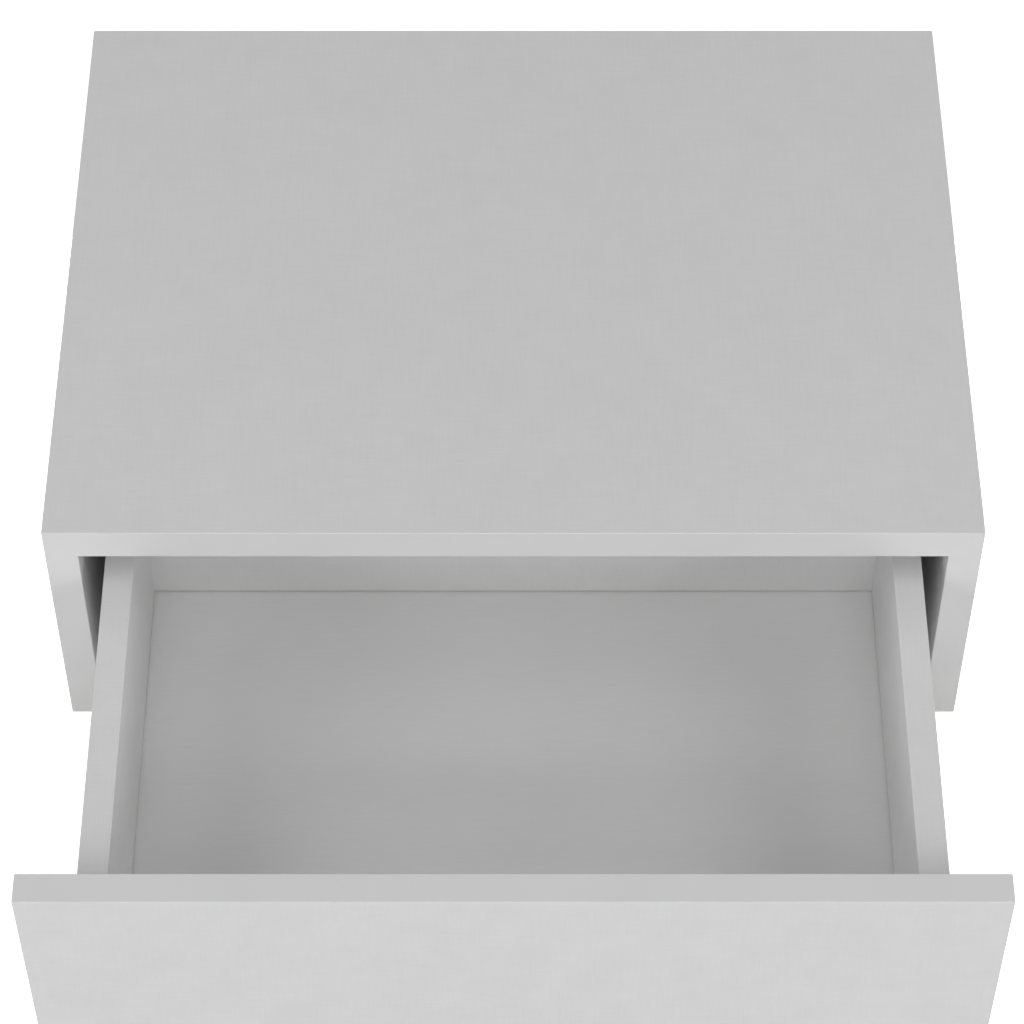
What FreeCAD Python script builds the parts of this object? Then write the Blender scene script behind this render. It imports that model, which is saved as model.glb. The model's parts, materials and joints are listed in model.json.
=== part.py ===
import FreeCAD, Part
import Sketcher
import os

# Wall-hung nightstand: a case of five boards with one drawer on roller runners.
# Millimetres, +Z up, front towards -Y. The origin lies on the wall plane, at the centre
# of the four wall holes, which is also the centre of the back panel.
# The rest pose is the drawer pulled out by drawer_opening.

Vector = FreeCAD.Vector
DOC = FreeCAD.newDocument("nightstand")

# Driving dimensions: (name, millimetres, what it is)
DIMENSIONS = (
    ("case_width", 450, "outside width of the case"),
    ("case_depth", 340, "wall plane to the front edges"),
    ("case_height", 150, "underside to top surface"),
    ("top_thickness", 18, "top panel"),
    ("board_thickness", 16, "sides, bottom and back"),
    ("band_thickness", 1, "edge band"),
    ("bottom_setback", 20, "bottom panel behind the front edges, room for fingers"),
    ("wall_hole_span_x", 320, "between wall holes, sideways"),
    ("wall_hole_span_z", 64, "between wall holes, up"),
    ("wall_hole_size", 6, "wall hole diameter"),
    ("drawer_opening", 175, "drawer pulled out at rest"),
    ("front_width", 449, "drawer front"),
    ("front_thickness", 15, "drawer front"),
    ("front_drop", 3, "drawer front's top edge below the top panel"),
    ("front_gap", 1.5, "closed drawer front to the case"),
    ("box_length", 245, "drawer box behind its front"),
    ("box_drop", 15, "drawer sides' top edges below the top panel, room to lift the drawer out"),
    ("box_height", 95, "drawer sides and back"),
    ("box_board", 14, "drawer side and back thickness"),
    ("floor_thickness", 3, "drawer bottom"),
    ("floor_inset", 5, "drawer bottom above the sides' lower edges"),
    ("groove_depth", 6.5, "groove for the drawer bottom"),
    ("groove_height", 3.6, "groove for the drawer bottom"),
    ("floor_play", 0.5, "drawer bottom to the end of its groove"),
    ("runner_gap", 11, "drawer side to case side"),
    ("runner_length", 240, "both runner members"),
    ("runner_setback", 2, "case member behind the case front"),
    ("member_setback", 1, "drawer member behind the drawer front"),
    ("steel", 1.2, "runner sheet"),
    ("channel_low", -4, "case member's lowest level, from the drawer sides' lower edge"),
    ("channel_high", 12, "case member's highest level"),
    ("channel_tip", 2, "case member's flange tips, from the drawer side"),
    ("member_foot", 12, "drawer member's width under the drawer side"),
    ("member_high", 14, "drawer member's highest level"),
    ("member_reach", 8.8, "drawer member's flange, from the drawer side"),
    ("case_roller_size", 14, "diameter of the roller on the case member"),
    ("case_roller_level", 5.5, "its axle's level"),
    ("case_roller_inset", 12, "its axle behind the member's front end"),
    ("drawer_roller_size", 13, "diameter of the roller on the drawer member"),
    ("drawer_roller_level", 4, "its axle's level"),
    ("drawer_roller_inset", 11, "its axle before the member's rear end"),
    ("roller_width", 6.9, "roller tread"),
    ("axle_size", 4, "axle pin diameter"),
    ("axle_bore", 4.1, "roller bore diameter"),
    ("axle_head_size", 6.5, "axle pin head diameter"),
    ("axle_head_height", 0.8, "axle pin head"),
    ("side_play", 0.3, "between parts that slide past each other"),
    ("flange_relief", 20.5, "upper flange cut away behind the member's front end"),
    ("stop_offset", 34, "stop tab behind the case member's front end"),
    ("stop_height", 3, "stop tab"),
    ("stop_width", 5, "stop tab"),
    ("cam_size", 15, "cam lock diameter"),
    ("cam_height", 12.5, "cam lock in 16 mm board"),
    ("cam_reach", 34, "cam lock's centre from the joint"),
    ("box_cam_height", 11, "cam lock in the drawer sides"),
    ("box_cam_reach", 24, "the same, from the drawer front"),
    ("bolt_size", 5, "cam bolt shank diameter"),
    ("bolt_head_size", 6.8, "cam bolt head diameter"),
    ("bolt_thread_size", 6, "cam bolt thread diameter"),
    ("bolt_thread", 10, "cam bolt thread length"),
    ("bolt_bore", 7.2, "hole that the cam bolt passes through"),
    ("dowel_size", 8, "wooden dowel diameter"),
    ("dowel_length", 30, "wooden dowel"),
    ("dowel_sunk", 10, "dowel in the face of a board"),
    ("drill_play", 0.2, "hole over fastener, on diameter and depth"),
    ("fitting_inset", 50, "first fitting from a board's end"),
    ("fitting_step", 32, "from a fitting to its dowel"),
    ("box_fitting_low", 30, "lower drawer fitting, above the sides' lower edges"),
    ("box_fitting_high", 81, "upper drawer fitting"),
    ("screw_size", 5, "long drawer screw diameter"),
    ("screw_length", 45, "long drawer screw"),
    ("screw_head_size", 7, "long drawer screw head diameter"),
    ("screw_head_height", 2, "long drawer screw head"),
    ("euro_size", 5.6, "runner screw in the case side, diameter"),
    ("euro_length", 12, "runner screw in the case side"),
    ("euro_head_size", 8, "its flush head's diameter"),
    ("euro_first", 37, "first runner screw behind the member's front end"),
    ("euro_second", 197, "second runner screw"),
    ("small_screw_size", 3.5, "runner screw in the drawer side, diameter"),
    ("small_screw_length", 10, "runner screw in the drawer side"),
    ("small_screw_head_size", 6, "its head's diameter"),
    ("small_screw_head_height", 1.8, "its head"),
    ("small_screw_inset", 5, "its middle from the drawer side's outer face"),
    ("small_screw_first", 30, "first one behind the member's front end"),
    ("small_screw_second", 190, "second one"),
    ("pad_size", 8, "bumper pad diameter"),
    ("pad_height", 1.2, "bumper pad"),
)

SIDES = (("left", -1), ("right", 1))


def write_dimensions():
    """Fill the spreadsheet: column A says what a cell is, column B holds the number."""
    sheet = DOC.addObject("Spreadsheet::Sheet", "Size")
    for row, (name, number, meaning) in enumerate(DIMENSIONS, start=1):
        sheet.set(f"A{row}", meaning)
        sheet.set(f"B{row}", str(number))
        sheet.setAlias(f"B{row}", name)
    DOC.recompute()
    return sheet


SHEET = write_dimensions()


def value(formula):
    """Number that a formula on the sheet's names gives now."""
    result = SHEET.evalExpression(str(formula))
    return float(getattr(result, "Value", result))


def bind(item, path, formula):
    item.setExpression(path, str(formula))


# Levels and places that several pieces share, as formulas on the sheet
HALF_WIDTH = "Size.case_width / 2"
INNER_HALF = "(Size.case_width / 2 - Size.board_thickness)"
UNDERSIDE = "(-(Size.case_height - Size.top_thickness + Size.board_thickness) / 2)"
CEILING = f"({UNDERSIDE} + Size.case_height - Size.top_thickness)"
CASE_FLOOR = f"({UNDERSIDE} + Size.board_thickness)"
FRONT_BACK = "(-Size.case_depth - Size.front_gap - Size.drawer_opening)"
BOX_HALF = f"({INNER_HALF} - Size.runner_gap)"
FRONT_TOP = f"({CEILING} - Size.front_drop)"
BOX_LOW = f"({CEILING} - Size.box_drop - Size.box_height)"
BOX_REAR = f"({FRONT_BACK} + Size.box_length)"
FITTING_REAR = "(Size.fitting_inset + Size.fitting_step + Size.dowel_size)"


# ---------------------------------------------------------------- tools for pieces

def place(item, x, y, z):
    for axis, formula in zip("xyz", (x, y, z)):
        bind(item, f"Placement.Base.{axis}", formula)


def sketch_on(body, role, name, offset="0"):
    """Sketch on one of the body's own origin planes, moved along the plane's normal."""
    sketch = body.newObject("Sketcher::SketchObject", name)
    plane = next(item for item in body.Origin.OriginFeatures if item.Role == role)
    sketch.AttachmentSupport = (plane, [""])
    sketch.MapMode = "FlatFace"
    bind(sketch, "AttachmentOffset.Base.z", offset)
    return sketch


def pin_point(sketch, line, end, x, y):
    """Hold one end of a line, or a circle's centre, at two formulas."""
    for kind, formula in (("DistanceX", x), ("DistanceY", y)):
        rule = Sketcher.Constraint(kind, -1, 1, line, end, value(formula))
        bind(sketch, f"Constraints[{sketch.addConstraint(rule)}]", formula)


def draw_outline(sketch, corners):
    """Closed outline of straight lines through (x formula, y formula) corners."""
    points = [Vector(value(x), value(y), 0) for x, y in corners]
    first = sketch.GeometryCount
    last = first + len(points) - 1
    for start, end in zip(points, points[1:] + points[:1]):
        sketch.addGeometry(Part.LineSegment(start, end), False)
    for line in range(first, last + 1):
        following = first if line == last else line + 1
        sketch.addConstraint(Sketcher.Constraint("Coincident", line, 2, following, 1))
    for line, (x, y) in enumerate(corners, start=first):
        pin_point(sketch, line, 1, x, y)


def draw_circles(sketch, centres, diameter):
    for x, y in centres:
        centre = Vector(value(x), value(y), 0)
        circle = Part.Circle(centre, Vector(0, 0, 1), value(diameter) / 2)
        line = sketch.addGeometry(circle, False)
        pin_point(sketch, line, 3, x, y)
        rule = Sketcher.Constraint("Diameter", line, value(diameter))
        bind(sketch, f"Constraints[{sketch.addConstraint(rule)}]", diameter)


def rectangle(x_low, y_low, x_high, y_high):
    return [(x_low, y_low), (x_high, y_low), (x_high, y_high), (x_low, y_high)]


def add_pad(body, sketch, length, backwards=False):
    pad = body.newObject("PartDesign::Pad", sketch.Name + "_pad")
    pad.Profile = sketch
    pad.Reversed = backwards
    bind(pad, "Length", length)
    return pad


def new_body(name):
    body = DOC.addObject("PartDesign::Body", name)
    body.Label = name
    return body


class Board:
    """Rectangular board with its lowest corner at a place, to be drilled and grooved."""

    def __init__(self, name, corner, size):
        self.body = new_body(name)
        self.size = size
        self.cuts = 0
        outline = sketch_on(self.body, "XY_Plane", name + "_outline")
        draw_outline(outline, rectangle("0", "0", size[0], size[1]))
        add_pad(self.body, outline, size[2])
        place(self.body, *corner)

    def face_sketch(self, face):
        """Sketch on a named face, and whether a cut into the board is reversed there."""
        length, depth, height = self.size
        faces = {
            "top": ("XY_Plane", height, False),
            "bottom": ("XY_Plane", "0", True),
            "right": ("YZ_Plane", length, False),
            "left": ("YZ_Plane", "0", True),
            "front": ("XZ_Plane", "0", False),
            "rear": ("XZ_Plane", f"-({depth})", True),
        }
        role, offset, backwards = faces[face]
        self.cuts += 1
        name = f"{self.body.Name}_{face}_{self.cuts}"
        return sketch_on(self.body, role, name, offset), backwards

    def cut(self, sketch, depth, backwards):
        pocket = self.body.newObject("PartDesign::Pocket", sketch.Name + "_cut")
        pocket.Profile = sketch
        pocket.Reversed = backwards
        bind(pocket, "Length", depth)

    def drill(self, face, centres, diameter, depth):
        sketch, backwards = self.face_sketch(face)
        draw_circles(sketch, centres, diameter)
        self.cut(sketch, depth, backwards)

    def mill(self, face, corners, depth):
        sketch, backwards = self.face_sketch(face)
        draw_outline(sketch, corners)
        self.cut(sketch, depth, backwards)


def strip(name, corner, size):
    """Plain rectangular strip, such as an edge band."""
    box = DOC.addObject("Part::Box", name)
    box.Label = name
    for side, formula in zip(("Length", "Width", "Height"), size):
        bind(box, side, formula)
    place(box, *corner)


def turned(name, outline):
    """Piece turned about its own X axis, from (x formula, radius formula) corners."""
    body = new_body(name)
    sketch = sketch_on(body, "XY_Plane", name + "_outline")
    draw_outline(sketch, outline)
    turning = body.newObject("PartDesign::Revolution", name + "_turning")
    turning.Profile = sketch
    turning.ReferenceAxis = (sketch, ["H_Axis"])
    turning.Angle = 360
    return body


def stepped_pin(steps):
    """Half outline of a round pin, from (x start, x end, diameter) formulas in order."""
    outline = [(steps[0][0], "0")]
    for start, end, diameter in steps:
        outline.append((start, f"({diameter}) / 2"))
        outline.append((end, f"({diameter}) / 2"))
    outline.append((steps[-1][1], "0"))
    return outline


def group(name, pattern, seats):
    """One node of separate equal pieces, each at (x, y, z, direction of its +X)."""
    DOC.recompute()
    copies = []
    for x, y, z, direction in seats:
        turn = FreeCAD.Rotation(Vector(1, 0, 0), Vector(*direction))
        spot = Vector(value(x), value(y), value(z))
        copy = pattern.Shape.copy()
        copy.Placement = FreeCAD.Placement(spot, turn)
        copies.append(copy)
    node = DOC.addObject("Part::Feature", name)
    node.Label = name
    node.Shape = Part.Compound(copies)
    node.Placement = FreeCAD.Placement()


def mirrored(side, formula):
    """A sideways distance from the middle, on the left or the right."""
    return f"{side} * ({formula})"


def low_x(side, near, far):
    """Lower X corner of a piece that lies between two distances from the middle."""
    return near if side > 0 else f"-({far})"


# ------------------------------------------------------------------------ the case

CAM_DRILL = "Size.cam_size + Size.drill_play"
DOWEL_DRILL = "Size.dowel_size + Size.drill_play"
THREAD_DRILL = "Size.bolt_thread_size + Size.drill_play"
DOWEL_FACE_DEPTH = "Size.dowel_sunk + Size.drill_play"
DOWEL_EDGE_DEPTH = "Size.dowel_length - Size.dowel_sunk + Size.drill_play"
THREAD_DEPTH = "Size.bolt_thread + Size.drill_play"

# Distances of the fittings behind the case front: top joint, then bottom joint
TOP_CAMS = ("Size.fitting_inset", f"Size.case_depth - {FITTING_REAR}")
TOP_DOWELS = tuple(f"{spot} {sign} Size.fitting_step" for spot, sign in zip(TOP_CAMS, "+-"))
BOTTOM_CAMS = tuple(f"{spot} + Size.bottom_setback / 2" for spot in TOP_CAMS)
BOTTOM_DOWELS = tuple(f"{spot} + Size.bottom_setback / 2" for spot in TOP_DOWELS)
# Heights of the back joint's fittings, from the origin
BACK_CAMS = ("0",)
BACK_DOWELS = ("-Size.fitting_step", "Size.fitting_step")


def top_panel():
    """Top board with holes underneath for the bolts and dowels of both sides."""
    band = "Size.band_thickness"
    size = (f"Size.case_width - 2 * {band}", f"Size.case_depth - {band}", "Size.top_thickness")
    corner = (f"-({HALF_WIDTH}) + {band}", f"-Size.case_depth + {band}", CEILING)
    board = Board("top_panel", corner, size)
    near = f"Size.board_thickness / 2 - {band}"
    far = f"Size.case_width - Size.board_thickness / 2 - {band}"
    for places, diameter, depth in ((TOP_CAMS, THREAD_DRILL, THREAD_DEPTH),
                                    (TOP_DOWELS, DOWEL_DRILL, DOWEL_FACE_DEPTH)):
        centres = [(x, f"{y} - {band}") for x in (near, far) for y in places]
        board.drill("bottom", centres, diameter, depth)


def side_panel(word, side):
    """Side board: cam pockets inside, holes in the top edge and for bottom and back."""
    band = "Size.band_thickness"
    tall = f"(Size.case_height - Size.top_thickness - {band})"
    size = ("Size.board_thickness", f"Size.case_depth - {band}", tall)
    corner = (low_x(side, INNER_HALF, HALF_WIDTH), f"-Size.case_depth + {band}",
              f"{UNDERSIDE} + {band}")
    board = Board(f"side_panel_{word}", corner, size)
    inside = "left" if side > 0 else "right"
    middle = "Size.board_thickness / 2"

    board.drill("top", [(middle, f"{y} - {band}") for y in TOP_CAMS],
                "Size.bolt_bore", "Size.cam_reach")
    board.drill("top", [(middle, f"{y} - {band}") for y in TOP_DOWELS],
                DOWEL_DRILL, DOWEL_EDGE_DEPTH)
    cams = [(f"{y} - {band}", f"{tall} - Size.cam_reach") for y in TOP_CAMS]
    board.drill(inside, cams, CAM_DRILL, "Size.cam_height + Size.drill_play")

    low = f"{middle} - {band}"
    rear = f"Size.case_depth - {middle} - {band}"
    lift = f"-({UNDERSIDE}) - {band}"
    bolts = [(f"{y} - {band}", low) for y in BOTTOM_CAMS]
    bolts += [(rear, f"{z} + {lift}") for z in BACK_CAMS]
    dowels = [(f"{y} - {band}", low) for y in BOTTOM_DOWELS]
    dowels += [(rear, f"{z} + {lift}") for z in BACK_DOWELS]
    board.drill(inside, bolts, THREAD_DRILL, THREAD_DEPTH)
    board.drill(inside, dowels, DOWEL_DRILL, DOWEL_FACE_DEPTH)

    from_front = f"Size.runner_setback - {band}"
    level = f"{BOX_LOW} + (Size.channel_low + Size.channel_high) / 2 - ({UNDERSIDE}) - {band}"
    screws = [(f"{from_front} + {y}", level) for y in ("Size.euro_first", "Size.euro_second")]
    board.drill(inside, screws, "Size.euro_size + Size.drill_play",
                "Size.euro_length - Size.steel + Size.drill_play")


def bottom_panel():
    """Bottom board between the sides, with cam pockets underneath."""
    depth = "(Size.case_depth - Size.bottom_setback - Size.band_thickness)"
    wide = f"(2 * {INNER_HALF})"
    front = "-Size.case_depth + Size.bottom_setback + Size.band_thickness"
    board = Board("bottom_panel", (f"-{INNER_HALF}", front, UNDERSIDE),
                  (wide, depth, "Size.board_thickness"))
    shift = "Size.bottom_setback - Size.band_thickness"
    middle = "Size.board_thickness / 2"
    cams = [(x, f"{y} - {shift}") for y in BOTTOM_CAMS
            for x in ("Size.cam_reach", f"{wide} - Size.cam_reach")]
    board.drill("bottom", cams, CAM_DRILL, "Size.cam_height + Size.drill_play")
    for face in ("left", "right"):
        board.drill(face, [(f"{y} - {shift}", middle) for y in BOTTOM_CAMS],
                    "Size.bolt_bore", "Size.cam_reach")
        board.drill(face, [(f"{y} - {shift}", middle) for y in BOTTOM_DOWELS],
                    DOWEL_DRILL, DOWEL_EDGE_DEPTH)


def back_panel():
    """Back board between the sides, with the four wall holes and its cam pockets."""
    wide = f"(2 * {INNER_HALF})"
    tall = f"({CEILING} - {CASE_FLOOR})"
    board = Board("back_panel", (f"-{INNER_HALF}", "-Size.board_thickness", CASE_FLOOR),
                  (wide, "Size.board_thickness", tall))
    centre_x = f"{wide} / 2"
    centre_z = f"{tall} / 2"
    holes = [(f"{centre_x} {sign_x} Size.wall_hole_span_x / 2",
              f"{centre_z} {sign_z} Size.wall_hole_span_z / 2")
             for sign_x in "-+" for sign_z in "-+"]
    board.drill("front", holes, "Size.wall_hole_size", "Size.board_thickness")
    cams = [(x, f"{z} + {centre_z}") for z in BACK_CAMS
            for x in ("Size.cam_reach", f"{wide} - Size.cam_reach")]
    board.drill("rear", cams, CAM_DRILL, "Size.cam_height + Size.drill_play")
    middle = "Size.board_thickness / 2"
    for face in ("left", "right"):
        board.drill(face, [(middle, f"{z} + {centre_z}") for z in BACK_CAMS],
                    "Size.bolt_bore", "Size.cam_reach")
        board.drill(face, [(middle, f"{z} + {centre_z}") for z in BACK_DOWELS],
                    DOWEL_DRILL, DOWEL_EDGE_DEPTH)


def case_bands():
    """Edge bands on the board edges that can be seen."""
    band = "Size.band_thickness"
    board = "Size.board_thickness"
    front = "-Size.case_depth"
    inner_depth = f"Size.case_depth - {band}"
    strip("top_band_front", (f"-({HALF_WIDTH})", front, CEILING),
          ("Size.case_width", band, "Size.top_thickness"))
    strip("bottom_band_front", (f"-{INNER_HALF}", f"{front} + Size.bottom_setback", UNDERSIDE),
          (f"2 * {INNER_HALF}", band, board))
    for word, side in SIDES:
        edge = low_x(side, f"{HALF_WIDTH} - {band}", HALF_WIDTH)
        strip(f"top_band_{word}", (edge, f"{front} + {band}", CEILING),
              (band, inner_depth, "Size.top_thickness"))
        near = low_x(side, INNER_HALF, HALF_WIDTH)
        strip(f"side_band_front_{word}", (near, front, UNDERSIDE),
              (board, band, "Size.case_height - Size.top_thickness"))
        strip(f"side_band_low_{word}", (near, f"{front} + {band}", UNDERSIDE),
              (board, inner_depth, band))


# ---------------------------------------------------------------------- the drawer

FLOOR_LOW = "Size.floor_inset"
GROOVE = (FLOOR_LOW, f"{FLOOR_LOW} + Size.groove_height")
BOX_FITTINGS = ("Size.box_fitting_low", "Size.box_fitting_high")
BOX_DOWEL = "(Size.box_fitting_low + Size.box_fitting_high) / 2"


def drawer_front():
    """Drawer front with a groove for the bottom and holes for bolts and dowels."""
    band = "Size.band_thickness"
    wide = f"(Size.front_width - 2 * {band})"
    tall = f"({FRONT_TOP} - {UNDERSIDE} - 2 * {band})"
    corner = (f"-{wide} / 2", f"{FRONT_BACK} - Size.front_thickness", f"{UNDERSIDE} + {band}")
    board = Board("drawer_front", corner, (wide, "Size.front_thickness", tall))
    lift = f"{BOX_LOW} - {UNDERSIDE} - {band}"
    reach = f"({BOX_HALF} - Size.box_board + Size.groove_depth)"
    slot = rectangle(f"{wide} / 2 - {reach}", f"{lift} + {GROOVE[0]}",
                     f"{wide} / 2 + {reach}", f"{lift} + {GROOVE[1]}")
    board.mill("rear", slot, "Size.groove_depth")
    offset = f"({BOX_HALF} - Size.box_board / 2)"
    spots = [f"{wide} / 2 {sign} {offset}" for sign in "-+"]
    board.drill("rear", [(x, f"{lift} + {z}") for x in spots for z in BOX_FITTINGS],
                THREAD_DRILL, THREAD_DEPTH)
    board.drill("rear", [(x, f"{lift} + {BOX_DOWEL}") for x in spots],
                DOWEL_DRILL, DOWEL_FACE_DEPTH)


def front_bands():
    """Edge bands all round the drawer front."""
    band = "Size.band_thickness"
    wide = "Size.front_width"
    face = f"{FRONT_BACK} - Size.front_thickness"
    tall = f"{FRONT_TOP} - {UNDERSIDE} - 2 * {band}"
    for word, level in (("low", UNDERSIDE), ("top", f"{FRONT_TOP} - {band}")):
        strip(f"front_band_{word}", (f"-{wide} / 2", face, level),
              (wide, "Size.front_thickness", band))
    for word, side in SIDES:
        edge = low_x(side, f"{wide} / 2 - {band}", f"{wide} / 2")
        strip(f"front_band_{word}", (edge, face, f"{UNDERSIDE} + {band}"),
              (band, "Size.front_thickness", tall))


def drawer_side(word, side):
    """Drawer side: groove inside, cam pockets and screw holes outside."""
    thick = "Size.box_board"
    corner = (low_x(side, f"{BOX_HALF} - {thick}", BOX_HALF), FRONT_BACK, BOX_LOW)
    board = Board(f"drawer_side_{word}", corner, (thick, "Size.box_length", "Size.box_height"))
    inside, outside = ("left", "right") if side > 0 else ("right", "left")
    groove_end = f"Size.box_length - {thick} + Size.groove_depth"
    board.mill(inside, rectangle("0", GROOVE[0], groove_end, GROOVE[1]), "Size.groove_depth")
    board.drill(outside, [("Size.box_cam_reach", z) for z in BOX_FITTINGS],
                CAM_DRILL, "Size.box_cam_height + Size.drill_play")
    board.drill("front", [(f"{thick} / 2", z) for z in BOX_FITTINGS],
                "Size.bolt_bore", "Size.box_cam_reach")
    board.drill("front", [(f"{thick} / 2", BOX_DOWEL)], DOWEL_DRILL, DOWEL_EDGE_DEPTH)
    rear = [(f"Size.box_length - {thick} / 2", z) for z in BOX_FITTINGS]
    board.drill(outside, rear, "Size.screw_size + Size.drill_play", thick)
    board.drill(outside, rear, "Size.screw_head_size + Size.drill_play", "Size.screw_head_height")
    spots = [f"Size.member_setback + {y}"
             for y in ("Size.small_screw_first", "Size.small_screw_second")]
    inset = "Size.small_screw_inset" if side < 0 else f"{thick} - Size.small_screw_inset"
    board.drill("bottom", [(inset, y) for y in spots],
                "Size.small_screw_size + Size.drill_play",
                "Size.small_screw_length - Size.steel + Size.drill_play")


def drawer_back():
    """Drawer back between the sides, grooved like them."""
    thick = "Size.box_board"
    wide = f"(2 * ({BOX_HALF} - {thick}))"
    board = Board("drawer_back", (f"-{wide} / 2", f"{BOX_REAR} - {thick}", BOX_LOW),
                  (wide, thick, "Size.box_height"))
    board.mill("front", rectangle("0", GROOVE[0], wide, GROOVE[1]), "Size.groove_depth")
    for face in ("left", "right"):
        board.drill(face, [(f"{thick} / 2", z) for z in BOX_FITTINGS],
                    "Size.screw_size + Size.drill_play",
                    f"Size.screw_length - {thick} + Size.drill_play")


def drawer_bottom():
    """Thin bottom that sits in the grooves of the front, sides and back."""
    grip = "(Size.groove_depth - Size.floor_play)"
    half = f"({BOX_HALF} - Size.box_board + {grip})"
    Board("drawer_bottom", (f"-{half}", f"{FRONT_BACK} - {grip}", f"{BOX_LOW} + {FLOOR_LOW}"),
          (f"2 * {half}", f"Size.box_length - Size.box_board + 2 * {grip}",
           "Size.floor_thickness"))


def bumper_pads():
    """Soft pads behind the drawer front, which meet the case's front edges."""
    pad = turned("bumper_pad_pattern", stepped_pin([("0", "Size.pad_height", "Size.pad_size")]))
    across = f"{INNER_HALF} + Size.board_thickness / 2"
    levels = (f"{UNDERSIDE} + Size.board_thickness", f"{FRONT_TOP} - Size.board_thickness")
    group("bumper_pads", pad, [(mirrored(side, across), FRONT_BACK, z, (0, 1, 0))
                               for _, side in SIDES for z in levels])


# --------------------------------------------------------------------- the runners

CASE_RUNNER_FRONT = "(-Size.case_depth + Size.runner_setback)"
DRAWER_RUNNER_FRONT = f"({FRONT_BACK} + Size.member_setback)"
WEB_FACE = "(Size.runner_gap - Size.steel)"


def sheet_profile(name, side, corners):
    """Runner member: a bent-sheet section along Y, with X measured outwards."""
    body = new_body(name)
    sketch = sketch_on(body, "XZ_Plane", name + "_section")
    draw_outline(sketch, [(mirrored(side, x), z) for x, z in corners])
    add_pad(body, sketch, "Size.runner_length", backwards=True)
    return body


def cut_through(body, role, name, draw, offset="0"):
    """Cut a drawn shape through a thin member, both ways from the sketch."""
    sketch = sketch_on(body, role, name, offset)
    draw(sketch)
    pocket = body.newObject("PartDesign::Pocket", name + "_cut")
    pocket.Profile = sketch
    pocket.Midplane = True
    bind(pocket, "Length", "4 * Size.steel")


def case_runner(word, side):
    """Case member: a channel open towards the drawer, with a stop tab."""
    low, high, tip = "Size.channel_low", "Size.channel_high", "Size.channel_tip"
    body = sheet_profile(f"case_runner_{word}", side, [
        (tip, low), ("Size.runner_gap", low), ("Size.runner_gap", high), (tip, high),
        (tip, f"{high} - Size.steel"), (WEB_FACE, f"{high} - Size.steel"),
        (WEB_FACE, f"{low} + Size.steel"), (tip, f"{low} + Size.steel")])
    relief = rectangle(mirrored(side, "0"), "0", mirrored(side, WEB_FACE), "Size.flange_relief")
    cut_through(body, "XY_Plane", f"case_runner_{word}_relief",
                lambda sketch: draw_outline(sketch, relief), high)
    middle = f"({low} + {high}) / 2"
    screws = [(y, middle) for y in ("Size.euro_first", "Size.euro_second")]
    cut_through(body, "YZ_Plane", f"case_runner_{word}_screws",
                lambda sketch: draw_circles(sketch, screws, "Size.euro_head_size + Size.drill_play"),
                mirrored(side, "Size.runner_gap"))
    axle = [("Size.case_roller_inset", "Size.case_roller_level")]
    cut_through(body, "YZ_Plane", f"case_runner_{word}_axle",
                lambda sketch: draw_circles(sketch, axle, "Size.axle_bore"),
                mirrored(side, "Size.runner_gap"))
    tab = sketch_on(body, "XY_Plane", f"case_runner_{word}_tab", f"{low} + Size.steel")
    draw_outline(tab, rectangle(mirrored(side, f"{tip} + Size.steel"), "Size.stop_offset",
                                mirrored(side, f"{tip} + Size.steel + Size.stop_width"),
                                "Size.stop_offset + Size.steel"))
    add_pad(body, tab, "Size.stop_height")
    place(body, mirrored(side, BOX_HALF), CASE_RUNNER_FRONT, BOX_LOW)


def drawer_runner(word, side):
    """Drawer member: a foot under the drawer side, a leg beside it and a flange."""
    high = "Size.member_high"
    body = sheet_profile(f"drawer_runner_{word}", side, [
        ("-Size.member_foot", "-Size.steel"), ("Size.steel", "-Size.steel"),
        ("Size.steel", f"{high} - Size.steel"), ("Size.member_reach", f"{high} - Size.steel"),
        ("Size.member_reach", high), ("0", high), ("0", "0"), ("-Size.member_foot", "0")])
    axle = [("Size.runner_length - Size.drawer_roller_inset", "Size.drawer_roller_level")]
    cut_through(body, "YZ_Plane", f"drawer_runner_{word}_axle",
                lambda sketch: draw_circles(sketch, axle, "Size.axle_bore"))
    spots = [(mirrored(side, "-Size.small_screw_inset"), y)
             for y in ("Size.small_screw_first", "Size.small_screw_second")]
    cut_through(body, "XY_Plane", f"drawer_runner_{word}_screws",
                lambda sketch: draw_circles(sketch, spots,
                                            "Size.small_screw_size + Size.drill_play"))
    place(body, mirrored(side, BOX_HALF), DRAWER_RUNNER_FRONT, BOX_LOW)


def roller(name, side, diameter, near, y, level):
    """Roller turned about X, with chamfered rims and a running-fit bore."""
    rim = "Size.axle_head_height"
    outline = [("0", "Size.axle_bore / 2"), ("0", f"{diameter} / 2 - {rim}"),
               (rim, f"{diameter} / 2"), (f"Size.roller_width - {rim}", f"{diameter} / 2"),
               ("Size.roller_width", f"{diameter} / 2 - {rim}"),
               ("Size.roller_width", "Size.axle_bore / 2")]
    body = turned(name, outline)
    place(body, low_x(side, f"{BOX_HALF} + {near}", f"{BOX_HALF} + {near} + Size.roller_width"),
          y, f"{BOX_LOW} + {level}")


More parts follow.
